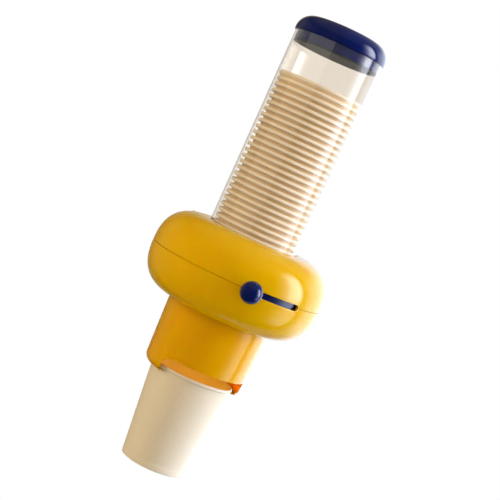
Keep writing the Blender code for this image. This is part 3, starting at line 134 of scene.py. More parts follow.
# Camera. Its turn about the tube's axis is in degrees, from straight in front to the user's right
CAMERA_TURN, CAMERA_ASIDE, CAMERA_PITCH, CAMERA_ROLL = -28.0, 0.093, -4.14, 24.36
CAMERA_DISTANCE, CAMERA_HEIGHT = 1.157, 0.108
CAMERA_LENS, CAMERA_SENSOR = 97.49, 36.0

# Light of the room, by degrees to the right of the camera's side as seen from the object
ROOM_LEVELS = (
    (-180, 0.35), (-166, 0.14), (-150, 0.05), (-125, 0.12), (-100, 0.09), (-75, 0.05),
    (-56, 0.03), (-14, 0.04), (-9, 0.01), (40, 0.01), (98, 0.04), (106, 0.20),
    (118, 1.0), (140, 1.0), (160, 0.8), (180, 0.4),
)
WINDOW_LEVELS = (
    (52, 0.0), (62, 0.08), (71, 0.35), (78, 0.88), (84, 1.0), (94, 1.0), (97, 0.55), (100, 0.0),
)
ROOM_STRENGTH, WINDOW_STRENGTH, CEILING_STRENGTH = 2.2, 9.6, 0.25
WARM_TINT, COOL_TINT = (1.0, 0.86, 0.62), (0.92, 0.985, 1.12)

# Where the room's light changes, by the sine of the angle that a ray looks up
ROOM_FADE, ROOM_FAR_SHARE = (0.30, 0.65), 0.2
WINDOW_FOOT, WINDOW_HEAD, WINDOW_SILL, WINDOW_LOW_SHARE = (-0.75, -0.45), (0.82, 0.52), (-0.17, 0.08), 0.25
CEILING_RISE = (0.45, 0.85)

# Between these shares of a turn, counted from opposite the camera, the warm tint gives way to the cool one
COOL_FROM, COOL_TO = 0.45, 0.62

# Rays that passed this often through the tube's faces have crossed more than its front wall
FRONT_WALL_PASSES = 2.5

# Share of the light through the tube that the scene would otherwise count twice
COUNTED_SHARE = 0.2

# Lamps: name, degrees to the camera's right, distance, level, width, height, radiance, colour
FILL_LAMPS = (
    ("fill_left", -62, 1.3, 0.25, 1.2, 1.0, 2.75, (1.0, 0.88, 0.65)),
    ("fill_front", 4, 1.3, 0.35, 1.2, 1.0, 1.2, (1.0, 0.88, 0.65)),
    ("fill_top", -30, 0.6, 1.3, 1.2, 1.2, 0.9, (1.0, 0.90, 0.70)),
    ("fill_low", -45, 1.0, -0.8, 1.2, 1.2, 0.5, (1.0, 0.88, 0.65)),
    ("fill_right", 72, 0.8, 0.42, 0.4, 0.5, 0.5, (0.94, 0.985, 1.08)),
    ("fill_back", 172, 1.3, 0.50, 1.2, 1.2, 2.2, (1.0, 0.97, 0.92)),
)
VEIL_LAMP = ("tube_veil", -46.5, 1.0, 0.12, 1.36, 1.6, 1.3, (1.0, 0.95, 0.86))
LAMP_TARGET = 0.02

# Lamps in the outlet: name, place from the axis, direction, diameter, energy, colour
THROAT_GLOW = ("throat_glow", (0.0, 0.0, -0.0836), (0.0, 0.0, -1.0), 0.052, 0.0135, (1.0, 0.47, 0.0))
SIDE_GLOW = ("side_glow", (0.022, -0.010, -0.0870), (1.0, 0.0, 0.0), 0.008, 0.0021, (1.0, 0.22, 0.0))

# Floor: its radius, its level, and the distances from its middle between which it fades to white
FLOOR_RADIUS, FLOOR_LEVEL, FLOOR_FADE = 0.90, -1.20, (0.05, 0.50)

random.seed(7)


# Nodes

def put(tree, node, values):
    """Gives a node's inputs, by name or number, plain values or links from other sockets."""
    for name, value in values.items():
        if isinstance(value, bpy.types.NodeSocket):
            tree.links.new(value, node.inputs[name])
        else:
            node.inputs[name].default_value = value


def add_node(tree, kind, values=None, **settings):
    node = tree.nodes.new(kind)
    for key, value in settings.items():
        setattr(node, key, value)
    put(tree, node, values or {})
    return node


def maths(tree, operation, *values):
    """A Math node on sockets or plain numbers."""
    return add_node(tree, "ShaderNodeMath", dict(enumerate(values)), operation=operation).outputs["Value"]


def product(tree, first, *others):
    for other in others:
        first = maths(tree, "MULTIPLY", first, other)
    return first


def vector_maths(tree, operation, output, *values):
    """A Vector Math node on sockets or plain vectors; output names the result."""
    node = add_node(tree, "ShaderNodeVectorMath", dict(enumerate(values)), operation=operation)
    return node.outputs[output]


def scaled(tree, vector, share):
    node = add_node(tree, "ShaderNodeVectorMath", operation="SCALE")
    put(tree, node, {0: vector, "Scale": share})
    return node.outputs["Vector"]


def noise(tree, scale, detail, stretch=(1.0, 1.0, 1.0)):
    place = add_node(tree, "ShaderNodeTexCoord").outputs["Object"]
    mapping = add_node(tree, "ShaderNodeMapping", {"Vector": place, "Scale": stretch})
    values = {"Vector": mapping.outputs["Vector"], "Scale": scale, "Detail": detail}
    return add_node(tree, "ShaderNodeTexNoise", values).outputs["Fac"]


def spread(tree, source, low, high, start=0.3, end=0.7):
    """Goes evenly from low to high as the source goes from start to end, and stays there beyond them."""
    values = {"Value": source, "From Min": start, "From Max": end, "To Min": low, "To Max": high}
    return add_node(tree, "ShaderNodeMapRange", values).outputs["Result"]


def eased(tree, source, start, end):
    """Rises smoothly from 0 to 1 as the source goes from start to end."""
    values = {"Value": source, "From Min": start, "From Max": end}
    return add_node(tree, "ShaderNodeMapRange", values, interpolation_type="SMOOTHSTEP").outputs["Result"]


def ramp(tree, source, stops):
    """Colours along a source from 0 to 1; stops are (position, colour), in rising order."""
    node = add_node(tree, "ShaderNodeValToRGB", {"Fac": source})
    elements = node.color_ramp.elements
    while len(elements) < len(stops):
        elements.new(0.5)
    for element, (position, colour) in zip(elements, stops):
        element.position = position
        element.color = (*colour, 1.0)
    return node.outputs["Color"]


def two_colours(tree, source, first, second, start=0.3, end=0.7):
    return ramp(tree, source, ((start, first), (end, second)))


def by_degrees(tree, turn, levels):
    """Brightness all round the room; levels are (degrees to the right of the camera's side, 0 to 1)."""
    return ramp(tree, turn, [((degrees + 180) / 360, (level,) * 3) for degrees, level in levels])


def colour_mix(tree, share, first, second):
    """A mix of two colour sockets or plain colours. Inputs 6 and 7 are the Mix node's colours."""
    node = add_node(tree, "ShaderNodeMix", {0: share, 6: first, 7: second}, data_type="RGBA")
    return node.outputs[2]


def shader_mix(tree, share, first, second):
    """Sends a mix of two shaders to the material's output."""
    mix = add_node(tree, "ShaderNodeMixShader", {"Fac": share, 1: first, 2: second})
    put(tree, tree.nodes["Material Output"], {"Surface": mix.outputs["Shader"]})


def bump(tree, shader, height, distance, under=None):
    """Roughens a shader's surface; under is the normal of another bump below this one."""
    node = add_node(tree, "ShaderNodeBump", {"Height": height, "Distance": distance})
    if under:
        put(tree, node, {"Normal": under})
    put(tree, shader, {"Normal": node.outputs["Normal"]})
    return node.outputs["Normal"]


# Materials

def new_material(name):
    made = bpy.data.materials.new(name)
    made.use_nodes = True
    tree = made.node_tree
    return made, tree, tree.nodes["Principled BSDF"]


def shade(colour, share):
    return tuple(min(1.0, part * share) for part in colour)


def plastic(name, colour, rough, vary):
    """Moulded plastic: cloudy colour, polish that varies a little, and a faint orange peel."""
    made, tree, shader = new_material(name)
    cloud = noise(tree, 22.0, 3.0)
    put(tree, shader, {
        "Base Color": two_colours(tree, cloud, shade(colour, 1.0 - vary), shade(colour, 1.0 + vary)),
        "Roughness": spread(tree, noise(tree, 90.0, 5.0), rough * 0.75, rough * 1.35),
        "IOR": 1.5,
    })
    wave = bump(tree, shader, noise(tree, 120.0, 2.0), ORANGE_PEEL * 2)
    bump(tree, shader, noise(tree, 900.0, 2.0), ORANGE_PEEL, under=wave)
    return made


def yellow_plastic(name, colour):
    """Thin yellow plastic, which light shines into a little."""
    made = plastic(name, colour, 0.06, vary=0.02)
    put(made.node_tree, made.node_tree.nodes["Principled BSDF"], {
        "Specular IOR Level": 0.45,
        "Specular Tint": (1.0, 0.97, 0.75, 1.0),
        "Subsurface Weight": 0.5,
        "Subsurface Radius": (1.0, 0.45, 0.10),
        "Subsurface Scale": 0.0012,
    })
    return made


def paper(name, light, dark):
    """Uncoated cup paper: fibres that run round the cup, pulp flecks and a dull, dry surface."""
    made, tree, shader = new_material(name)
    fibre = noise(tree, 260.0, 6.0, (1.0, 1.0, 2.5))
    fleck = noise(tree, 1100.0, 3.0)
    grain = add_node(tree, "ShaderNodeMix", {0: 0.4, 2: fibre, 3: fleck}, data_type="FLOAT").outputs[0]
    put(tree, shader, {
        "Base Color": two_colours(tree, grain, dark, light, 0.36, 0.62),
        "Roughness": spread(tree, fibre, 0.48, 0.66),
        "Specular IOR Level": 0.45,
        "Subsurface Weight": 0.10,
        "Subsurface Radius": (1.0, 0.8, 0.5),
        "Subsurface Scale": 0.0008,
    })
    bump(tree, shader, grain, 0.00006)
    return made


def stack_paper():
    """The nested cups' paper: a lighter copy of the cup paper, painted light on the rims, turning brown as
    painted shade on the outside below the rims, in the recesses between them.
    """
    made = paper("stack_paper", STACK_BRIGHTENED_LIGHT, STACK_BRIGHTENED_DARK)
    tree = made.node_tree
    shader = tree.nodes["Principled BSDF"]
    plain = shader.inputs["Base Color"].links[0].from_socket
    place = add_node(tree, "ShaderNodeTexCoord").outputs
    out = vector_maths(tree, "MULTIPLY_ADD", "Vector", place["Object"], (1.0, 1.0, 0.0), -AXIS)
    radius = vector_maths(tree, "LENGTH", "Value", out)
    outward = vector_maths(tree, "DOT_PRODUCT", "Value", out, place["Normal"])
    # Painted shade: brown where the wall lies inward of the rims and faces outward
    deep = spread(tree, radius, 1.0, 0.0, SHADE_FROM_RADIUS, SHADE_TO_RADIUS)
    share = product(tree, deep, maths(tree, "GREATER_THAN", outward, 0.0))
    put(tree, shader, {"Base Color": colour_mix(tree, share, plain, (*STACK_SHADE_BROWN, 1.0))})
    return made


def clear_plastic():
    """Clear tube: smooth, faintly warm, with hairline scuffs, and lamps shine through it."""
    made, tree, shader = new_material("clear_plastic")
    scuff = noise(tree, 45.0, 8.0, (1.0, 1.0, 0.12))
    put(tree, shader, {
        "Base Color": (*CLEAR_COLOUR, 1.0),
        "Transmission Weight": 1.0,
        "IOR": 1.42,
        "Roughness": spread(tree, scuff, 0.0, 0.045, 0.45, 0.75),
    })
    bump(tree, shader, noise(tree, 30.0, 1.0), 0.00003)
    shadow_ray = add_node(tree, "ShaderNodeLightPath").outputs["Is Shadow Ray"]
    open_way = add_node(tree, "ShaderNodeBsdfTransparent", {"Color": (*CLEAR_SHADOW, 1.0)})
    shader_mix(tree, shadow_ray, shader.outputs["BSDF"], open_way.outputs["BSDF"])
    return made


def steel():
    made, tree, shader = new_material("turned_steel")
    grain = noise(tree, 500.0, 5.0, (1.0, 1.0, 8.0))
    put(tree, shader, {
        "Base Color": two_colours(tree, grain, STEEL_DARK, STEEL_LIGHT),
        "Metallic": 1.0,
        "Roughness": spread(tree, grain, 0.22, 0.38),
    })
    bump(tree, shader, grain, 0.00001)
    return made


def rubber():
    made, tree, shader = new_material("dark_rubber")
    grain = noise(tree, 700.0, 4.0)
    put(tree, shader, {
        "Base Color": two_colours(tree, grain, RUBBER_DARK, RUBBER_LIGHT),
        "Roughness": spread(tree, grain, 0.55, 0.75),
    })
    bump(tree, shader, grain, 0.00003)
    return made


YELLOW = yellow_plastic("yellow_plastic", YELLOW_COLOUR)
# A darker, more orange copy of the yellow plastic, painted shade for the neck
SHADED_YELLOW = yellow_plastic("shaded_yellow_plastic", SHADED_YELLOW_COLOUR)
NAVY = plastic("navy_plastic", NAVY_COLOUR, 0.05, vary=0.12)
PAPER = paper("cup_paper", PAPER_LIGHT, PAPER_DARK)
STACK_PAPER = stack_paper()
CLEAR = clear_plastic()
STEEL = steel()
RUBBER = rubber()
ACETAL = plastic("white_acetal", ACETAL_COLOUR, 0.35, vary=0.03)


# Shapes

def rise(height):
    return Vector((0.0, 0.0, height))


def placed(name, data):
    """A new object in the scene that holds this data."""
    obj = bpy.data.objects.new(name, data)
    bpy.context.scene.collection.objects.link(obj)
    return obj


def smoothed(mesh, angle):
    mesh.shade_smooth()
    mesh.set_sharp_from_angle(angle=math.radians(angle))


def piece(name, bm):
    mesh = bpy.data.meshes.new(name)
    bm.to_mesh(mesh)
    bm.free()
    smoothed(mesh, SHARP_ANGLE)
    return placed(name, mesh)


def joined(name, objects):
    """One piece made of several shapes."""
    bm = bmesh.new()
    for obj in objects:
        bm.from_mesh(obj.data)
        bpy.data.objects.remove(obj)
    return piece(name, bm)


def dress(obj, look, body, node):
    """Gives a piece its material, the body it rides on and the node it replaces."""
    obj.data.materials.clear()
    obj.data.materials.append(look)
    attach(obj, body)
    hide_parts(node)


def round_edges(obj, width, harden):
    """Adds a rounding of sharp edges. On a piece with large flat faces, hardened normals keep them flat."""
    bevel = obj.modifiers.new("edge", "BEVEL")
    bevel.width = width
    bevel.segments = 3
    bevel.limit_method = "ANGLE"
    bevel.angle_limit = math.radians(BEVEL_ANGLE)
    bevel.use_clamp_overlap = harden
    bevel.harden_normals = harden


def apply_modifiers(obj):
    bpy.context.view_layer.update()
    graph = bpy.context.evaluated_depsgraph_get()
    made = bpy.data.meshes.new_from_object(obj.evaluated_get(graph))
    obj.modifiers.clear()
    obj.data = made


def cut(obj, cutter, edge=0.0):
    """Takes a cutter's shape out of a piece, and rounds the edges that the cut leaves."""
    modifier = obj.modifiers.new("cut", "BOOLEAN")
    modifier.operation = "DIFFERENCE"
    modifier.solver = "EXACT"
    modifier.object = cutter
    if edge:
        round_edges(obj, edge, harden=False)
    apply_modifiers(obj)
    smoothed(obj.data, SHARP_ANGLE)
    bpy.data.objects.remove(cutter)


def arc_points(centre, radii, start, end, count):
    """Points on an ellipse's arc, in degrees."""
    points = []
    for k in range(count + 1):
        turn = math.radians(start + (end - start) * k / count)
        points.append((centre[0] + radii[0] * math.cos(turn), centre[1] + radii[1] * math.sin(turn)))
    return points


def filleted(profile, roundings, closed=True, bends=4):
    """A profile whose corner k is rounded by roundings[k], with a support point beside each rounding.

    A rounding takes at most 0.45 of an edge, and an edge over 4 times its reach gets the support point.
    """
    points = []
    total = len(profile)
    for k, (corner, size) in enumerate(zip(profile, roundings)):
        at_end = not closed and k in (0, total - 1)
        if size <= 0 or at_end:
            points.append(corner)
            continue
        here = Vector(corner)
        back = Vector(profile[k - 1]) - here
        ahead = Vector(profile[(k + 1) % total]) - here
        angle = back.angle(ahead)
        reach = min(size / math.tan(angle / 2), back.length * 0.45, ahead.length * 0.45)
        size = reach * math.tan(angle / 2)
        first = here + back.normalized() * reach
        last = here + ahead.normalized() * reach
        inward = (back.normalized() + ahead.normalized()).normalized()
        centre = here + inward * (size / math.sin(angle / 2))
        if back.length > reach * 4:
            points.append(tuple(first + back.normalized() * reach * 0.6))
        start = math.atan2(first.y - centre.y, first.x - centre.x)
        sweep = math.atan2(last.y - centre.y, last.x - centre.x) - start
        sweep = (sweep + math.pi) % (2 * math.pi) - math.pi
        for step in range(bends + 1):
            turn = start + sweep * step / bends
            points.append((centre.x + size * math.cos(turn), centre.y + size * math.sin(turn)))
        if ahead.length > reach * 4:
            points.append(tuple(last + ahead.normalized() * reach * 0.6))
    return points


def even_turns(steps):
    return [2 * math.pi * k / steps for k in range(steps)]


def turned(name, profile, closed=True, steps=ROUND_STEPS, centre=AXIS, warp=None, angles=None):
    """A shape turned about the upright axis through centre; warp(radius, height, angle) may move points."""
    turns = angles or even_turns(steps)
    bm = bmesh.new()
    rings = []
    for radius, height in profile:
        if radius < 1e-7:
            rings.append([bm.verts.new((centre.x, centre.y, centre.z + height))])
            continue
        ring = []
        for turn in turns:
            out, up = warp(radius, height, turn) if warp else (radius, height)
            spot = (centre.x + out * math.sin(turn), centre.y - out * math.cos(turn), centre.z + up)
            ring.append(bm.verts.new(spot))
        rings.append(ring)
    pairs = list(zip(rings, rings[1:]))
    if closed:
        pairs.append((rings[-1], rings[0]))
    for first, second in pairs:
        count = max(len(first), len(second))
        for k in range(count):
            after = (k + 1) % count
            corners = []
            for ring, order in ((first, (k, after)), (second, (after, k))):
                corners += [ring[0]] if len(ring) == 1 else [ring[order[0]], ring[order[1]]]
            if len(set(corners)) > 2:
                bm.faces.new(corners)
    bmesh.ops.recalc_face_normals(bm, faces=bm.faces)
    return piece(name, bm)


def prism(name, outline, low_y, high_y):
    """An outline of (x, z) points drawn out from front to back."""
    bm = bmesh.new()
    front = [bm.verts.new((x, low_y, z)) for x, z in outline]
    back = [bm.verts.new((x, high_y, z)) for x, z in outline]
    bm.faces.new(front)
    bm.faces.new(back)
    count = len(outline)
    for k in range(count):
        after = (k + 1) % count
        bm.faces.new((front[k], front[after], back[after], back[k]))
    bmesh.ops.recalc_face_normals(bm, faces=bm.faces)
    return piece(name, bm)


def swept(name, rows):
    """Sections of (radius, height) points, each at its own turn about the axis and joined to the last one."""
    bm = bmesh.new()
    made = []
    for turn, outline in rows:
        made.append([bm.verts.new((out * math.sin(turn), -out * math.cos(turn), up)) for out, up in outline])
    for first, second in zip(made, made[1:]):
        for k in range(len(first)):
            after = (k + 1) % len(first)
            bm.faces.new((first[k], second[k], second[after], first[after]))
    bm.faces.new(made[0])
    bm.faces.new(made[-1][::-1])
    bmesh.ops.remove_doubles(bm, verts=bm.verts, dist=MERGE_DISTANCE)
    bmesh.ops.recalc_face_normals(bm, faces=bm.faces)
    return piece(name, bm)


# Housing

def section(radius, size, start, end, count):
    """Points at even steps along the housing's section; 0 degrees is the parting plane and 90 the crest."""
    fine = []
    for k in range(SECTION_STEPS + 1):
        turn = math.radians(start + (end - start) * k / SECTION_STEPS)
        out = (radius - CREST_RADIUS) * max(0.0, math.cos(turn)) ** ROUNDNESS
        fine.append(Vector((CREST_RADIUS + out, size * max(0.0, math.sin(turn)) ** ROUNDNESS)))
    lengths = [0.0]
    for first, second in zip(fine, fine[1:]):
        lengths.append(lengths[-1] + (second - first).length)
    points = []
    spot = 0
    for k in range(count + 1):
        wanted = lengths[-1] * k / count
        while spot < SECTION_STEPS - 1 and lengths[spot + 1] < wanted:
            spot += 1
        share = (wanted - lengths[spot]) / max(1e-12, lengths[spot + 1] - lengths[spot])
        points.append(tuple(fine[spot].lerp(fine[spot + 1], min(1.0, share))))
    return points


def height_angle(height, size):
    return math.degrees(math.asin(min(1.0, (abs(height) / size) ** (1 / ROUNDNESS))))


def radius_angle(radius, outer):
    share = (radius - CREST_RADIUS) / (outer - CREST_RADIUS)
    return math.degrees(math.acos(min(1.0, share ** (1 / ROUNDNESS))))


def below(points):
    return [(radius, -height) for radius, height in points]


def slot_cutter():
    """The lever's slot: a bar with round ends, bent round the axis, in columns from one end to the other."""
    high = SLOT_HALF_HEIGHT
    straight = HOUSING_RADIUS * math.radians(SLOT_HALF_ANGLE) - high
    columns = arc_points((-straight, 0.0), (high, high), 180, 90, 8)
    columns += [(straight * (k / 16 - 1), high) for k in range(1, 32)]
    columns += arc_points((straight, 0.0), (high, high), 90, 0, 8)
    rows = []
    for along, half in columns:
        outline = ((SLOT_OUT, half), (SLOT_OUT, -half), (SLOT_IN, -half), (SLOT_IN, half))
        rows.append((along / HOUSING_RADIUS, outline))
    obj = swept("slot_cutter", rows)
    obj.data.transform(Matrix.Translation(AXIS))
    return obj


def housing_half(name, node, profile):
    obj = turned(name, profile)
    cut(obj, slot_cutter(), CUT_EDGE)
    dress(obj, YELLOW, "dispenser", node)


def parting_edge(level, start, end):
    """The rounded outer edge of a half at the parting line."""
    return arc_points((HOUSING_RADIUS - PARTING_ROUND, level), (PARTING_ROUND, PARTING_ROUND), start, end, 4)


def upper_housing():
    inside = UPPER_HEIGHT - HOUSING_WALL
    outer = section(HOUSING_RADIUS, UPPER_HEIGHT, 90.0, height_angle(PARTING_EDGE, UPPER_HEIGHT), 56)
    rebate = HOUSING_RADIUS - HOUSING_WALL / 2
    inner = section(HOUSING_RADIUS - HOUSING_WALL, inside, height_angle(REBATE_TOP, inside), 90.0, 24)
    profile = [(TUBE_HOLE_LIP[0][0], inside), *TUBE_HOLE_LIP] + outer
    profile += parting_edge(PARTING_EDGE, 0, -90)[1:]
    profile += [(rebate, PARTING_FACE), (rebate, REBATE_TOP)] + inner
    housing_half("upper_housing_shell", "upper_housing", profile)


def lower_housing():
    inside = LOWER_HEIGHT - HOUSING_WALL
    wall = HOUSING_RADIUS - HOUSING_WALL
    hole = NECK_TOP_RADIUS + GAP
    start, end = height_angle(PARTING_EDGE, LOWER_HEIGHT), radius_angle(hole, HOUSING_RADIUS)
    outer = section(HOUSING_RADIUS, LOWER_HEIGHT, start, end, 56)
    tongue = HOUSING_RADIUS - HOUSING_WALL / 2 - GAP
    inner = section(wall, inside, height_angle(HOUSING_FLOOR, inside), 0.0, 24)
    profile = [(wall, TONGUE_TOP), (tongue, TONGUE_TOP), (tongue, -PARTING_FACE)]
    profile += parting_edge(-PARTING_EDGE, 90, 0)[:-1] + below(outer)
    profile += [(hole, HOUSING_FLOOR)] + below(inner)
    housing_half("lower_housing_shell", "lower_housing", profile)


def outlet_neck():
    """A sleeve with a flange, a rounded foot, a seat for the cup's rim and a notch at the front."""
    inner = NECK_TOP_RADIUS - NECK_WALL
    bend, size = NECK_FOOT_RADIUS - NECK_FOOT_ROUND, NECK_FOOT_ROUND
    lip_turn = math.degrees(math.acos((SEAT_LIP - bend) / size))
    seat = [(SEAT_LIP, SEAT_LEVEL), (SEAT_BORE, SEAT_LEVEL), (SEAT_BORE, SEAT_WALL_TOP)]
    profile = [
        (inner, FLANGE_TOP),
        (FLANGE_RADIUS, FLANGE_TOP),
        (FLANGE_RADIUS, FLANGE_LOW),
        (NECK_TOP_RADIUS, FLANGE_LOW),
        (NECK_TOP_RADIUS, NECK_BEND),
        (NECK_TOP_RADIUS - NECK_EASE, NECK_EASE_LEVEL),
        *arc_points((bend, NECK_BOTTOM + size), (size, size), 0, -lip_turn, 16),
        *seat,
        (NECK_FOOT_RADIUS - NECK_WALL, SEAT_WALL_TOP),
        (inner, NECK_BEND),
    ]
    obj = turned("outlet_neck_shell", profile)
    corner = (NOTCH_HALF - NOTCH_ROUND, NOTCH_TOP - NOTCH_ROUND)
    right = [(SEAT_LIP, NECK_BOTTOM - 0.002), *seat, (NOTCH_HALF, SEAT_WALL_TOP)]
    right += arc_points(corner, (NOTCH_ROUND, NOTCH_ROUND), 0, 90, 12)
    outline = right + [(-x, z) for x, z in reversed(right)]
    cut(obj, prism("notch_cutter", outline, NOTCH_FRONT, NOTCH_BACK), NOTCH_EDGE)
    # The neck wears the darker copy of the yellow, painted shade
    dress(obj, SHADED_YELLOW, "dispenser", "outlet_neck")


# Tube and lid

def cup_tube():
    bore = TUBE_RADIUS - TUBE_WALL
    corners = [(bore, TUBE_TOP), (TUBE_RADIUS, TUBE_TOP), (TUBE_RADIUS, TUBE_LOW), (bore, TUBE_LOW)]
    obj = turned("clear_tube", filleted(corners, (0.0004,) * 4))
    dress(obj, CLEAR, "dispenser", "cup_tube")


def lid_cap():
    """A low crown, a round shoulder and a fine rounded edge, hollow inside."""
    flat = LID_RADIUS - LID_ROUND
    bore = TUBE_RADIUS + GAP
    shares = [k / 12 for k in range(13)]
    profile = [(flat * share, LID_TOP - LID_CROWN * share * share) for share in shares]
    centre = (flat, LID_TOP - LID_CROWN - LID_ROUND)
    profile += arc_points(centre, (LID_ROUND, LID_ROUND), 90, 0, 24)[1:-1]
    profile += [(LID_RADIUS, LID_EDGE + 0.0005), (LID_RADIUS - 0.0002, LID_EDGE + 0.0001)]
    profile += [(LID_RADIUS - 0.0004, LID_EDGE), (bore, LID_EDGE), (bore, TUBE_TOP + GAP), *LID_INSIDE]
    cap = turned("lid_cap_shell", profile, closed=False)
    dress(cap, NAVY, "lid", "lid_cap")


def lid_plug():
    hollow = PLUG_RADIUS - PLUG_WALL
    corners = [(0.0, PLUG_FOOT + PLUG_WALL), (hollow, PLUG_FOOT + PLUG_WALL), (hollow, TUBE_TOP)]
    corners += [(PLUG_RADIUS, TUBE_TOP), (PLUG_RADIUS, PLUG_FOOT), (0.0, PLUG_FOOT)]
    profile = filleted(corners, (0, 0.0005, 0.0004, 0.0004, 0.0003, 0), closed=False)
    dress(turned("lid_plug_skirt", profile, closed=False), NAVY, "lid", "lid_plug")


def lid_seal():
    top = SEAL_LOW + SEAL_THICKNESS
    corners = [(0.0, top), (PLUG_RADIUS, top), (PLUG_RADIUS, SEAL_LOW), (0.0, SEAL_LOW)]
    profile = filleted(corners, (0, 0.0004, 0.0004, 0), closed=False)
    dress(turned("lid_seal_disc", profile, closed=False), RUBBER, "lid", "lid_seal")


# Cups

def cup_wall(height):
    return CUP_BASE + (CUP_MOUTH - CUP_BASE) * height / CUP_HEIGHT


def rolled_rim(count=14):
    """The rolled rim's section, from the wall's outside round under, out and over to its inside."""
    middle = RIM_RADIUS - RIM_HALF_WIDTH
    level = CUP_HEIGHT - RIM_HEIGHT / 2
    return arc_points((middle, level), (RIM_HALF_WIDTH, RIM_HEIGHT / 2), -118, 152, count)


def cup_profile():
    """One cup's whole section, from the floor's upper side out over the rim and down to its underside.

    The floor sags a little, a crimp runs round the wall above it, and the foot is folded in.
    """
    floor = CUP_RECESS + CUP_PAPER
    inside = cup_wall(floor) - CUP_PAPER
    foot = cup_wall(CUP_RECESS)
    points = [(0.0, floor - 0.0002), (inside * 0.6, floor - 0.0001)]
    points += [(inside - 0.0010, floor), (inside - 0.0001, floor + 0.0006)]
    points += [(cup_wall(height) - CUP_PAPER, height) for height in INSIDE_HEIGHTS]
    points += rolled_rim()[::-1]
    for height in OUTSIDE_HEIGHTS:
        crimp = CRIMP_DEPTH if CRIMP_LOW < height < CRIMP_TOP else 0.0
        points.append((cup_wall(height) - crimp, height))
    points += [(CUP_BASE - 0.0001, 0.0003), (CUP_BASE - CUP_PAPER, 0.0), (CUP_BASE - 0.0007, 0.0004)]
    points += [(foot - 0.0007, CUP_RECESS - 0.0008), (foot - 0.0018, CUP_RECESS)]
    points += [(inside * 0.6, CUP_RECESS - 0.0002), (0.0, CUP_RECESS - 0.0003)]
    return points


def seam_warp(seam):
    """Lifts the wall along the glued side seam, as one more layer of paper does."""
    def warp(radius, height, turn):
        off = (turn - seam + math.pi) % (2 * math.pi) - math.pi
        around = max(radius, SEAM_LEAST_RADIUS)
        share = max(0.0, min(1.0, (SEAM_HALF_WIDTH / around - abs(off)) / (SEAM_SLOPE / around)))
        lifted = SEAM_LIFT * share * share * (3 - 2 * share)
        on_wall = SEAM_LOW < height < SEAM_TOP and radius > cup_wall(height) - SEAM_DEPTH
        return (radius + lifted if on_wall else radius), height
    return warp


def seam_angles(seam, steps):
    """Even steps round the cup, with extra ones at the two edges of the seam."""
    turns = even_turns(steps)
    for side in (-1, 1):
        for off in SEAM_STEPS:
            turns.append((seam + side * off / SEAM_STEPS_RADIUS) % (2 * math.pi))
    return sorted(turns)


def whole_cup(name, rim_top, seam_degrees, steps, body, node):
    seam = math.radians(seam_degrees)
    obj = turned(
        name,
        cup_profile(),
        closed=False,
        centre=AXIS + rise(rim_top - CUP_HEIGHT),
        warp=seam_warp(seam),
        angles=seam_angles(seam, steps),
    )
    dress(obj, PAPER, body, node)


def cup_stack():
    """The cups above the next one. Each leans and sits off centre by a hair, as stacked cups do.

    Of all but the top one, only the rim and the wall down to the rim below it are made.
    """
    low = CUP_HEIGHT - RIM_HEIGHT - STACK_PITCH
    shown = cup_wall(low) - STACK_INSET
    nested = rolled_rim(10)[::-1] + [(shown, STACK_WALL_TOP), (shown, low)]
    made = []
    for number in range(1, STACK_COUNT):
        top = STACK_RIM_TOP + STACK_PITCH * number
        profile = cup_profile() if number == STACK_COUNT - 1 else nested
        off = Vector((random.uniform(-1, 1), random.uniform(-1, 1), 0.0)) * STACK_SHIFT
        centre = AXIS + off + rise(top - CUP_HEIGHT)
        seam = random.uniform(0, 2 * math.pi)
        angles = seam_angles(seam, CUP_STEPS)
        cup = turned(f"nested_{number}", profile, False, centre=centre, warp=seam_warp(seam), angles=angles)
        angle = math.radians(random.uniform(-STACK_LEAN, STACK_LEAN))
        lean = Matrix.Rotation(angle, 4, Vector((random.random(), random.random(), 0)))
        hinge = Matrix.Translation(AXIS + rise(top))
        cup.data.transform(hinge @ lean @ hinge.inverted())
        made.append(cup)
    dress(joined("nested_cups", made), STACK_PAPER, "stack", "cup_stack")


# Lever, at its rest

def lever_place():
    return Matrix.Translation(AXIS) @ Matrix.Rotation(LEVER_REST, 4, "Z")


def pointing_out(distance):
    """Lays an upright shape along the lever's radius, with its foot at a distance from the axis."""
    outward = lever_place() @ Matrix.Translation((0, -distance, 0))
    return outward @ Matrix.Rotation(math.radians(90), 4, "X")


def lever_knob():
    """A ball with a small collar round the hole for the stem."""
    collar = math.degrees(math.asin(KNOB_COLLAR / KNOB_RADIUS))
    ball = arc_points((0.0, 0.0), (KNOB_RADIUS, KNOB_RADIUS), 90, -90 + collar, 48)
    low = ball[-1][1]
    bore = STEM_RADIUS + 0.0002
    profile = [(0.0, KNOB_RADIUS), *ball[1:-1], (KNOB_COLLAR, low), (0.0033, low - 0.0004)]
    profile += [(0.0030, low - 0.0005), (bore, low - 0.0003), (bore, low + 0.0040), (0.0, low + 0.0040)]
    knob = turned("lever_ball", profile, closed=False, steps=CUP_STEPS, centre=ORIGIN)
    knob.data.transform(pointing_out(KNOB_CIRCLE))
    dress(knob, NAVY, "drive", "lever_knob")


def lever_stem():
    length = STEM_TO - STEM_FROM
    corners = [(0.0, 0.0), (STEM_RADIUS, 0.0), (STEM_RADIUS, length), (0.0, length)]
    profile = filleted(corners, (0, 0.0003, 0.0003, 0), closed=False)
    stem = turned("lever_rod", profile, closed=False, steps=STEM_STEPS, centre=ORIGIN)
    stem.data.transform(pointing_out(STEM_FROM))
    dress(stem, STEEL, "drive", "lever_stem")


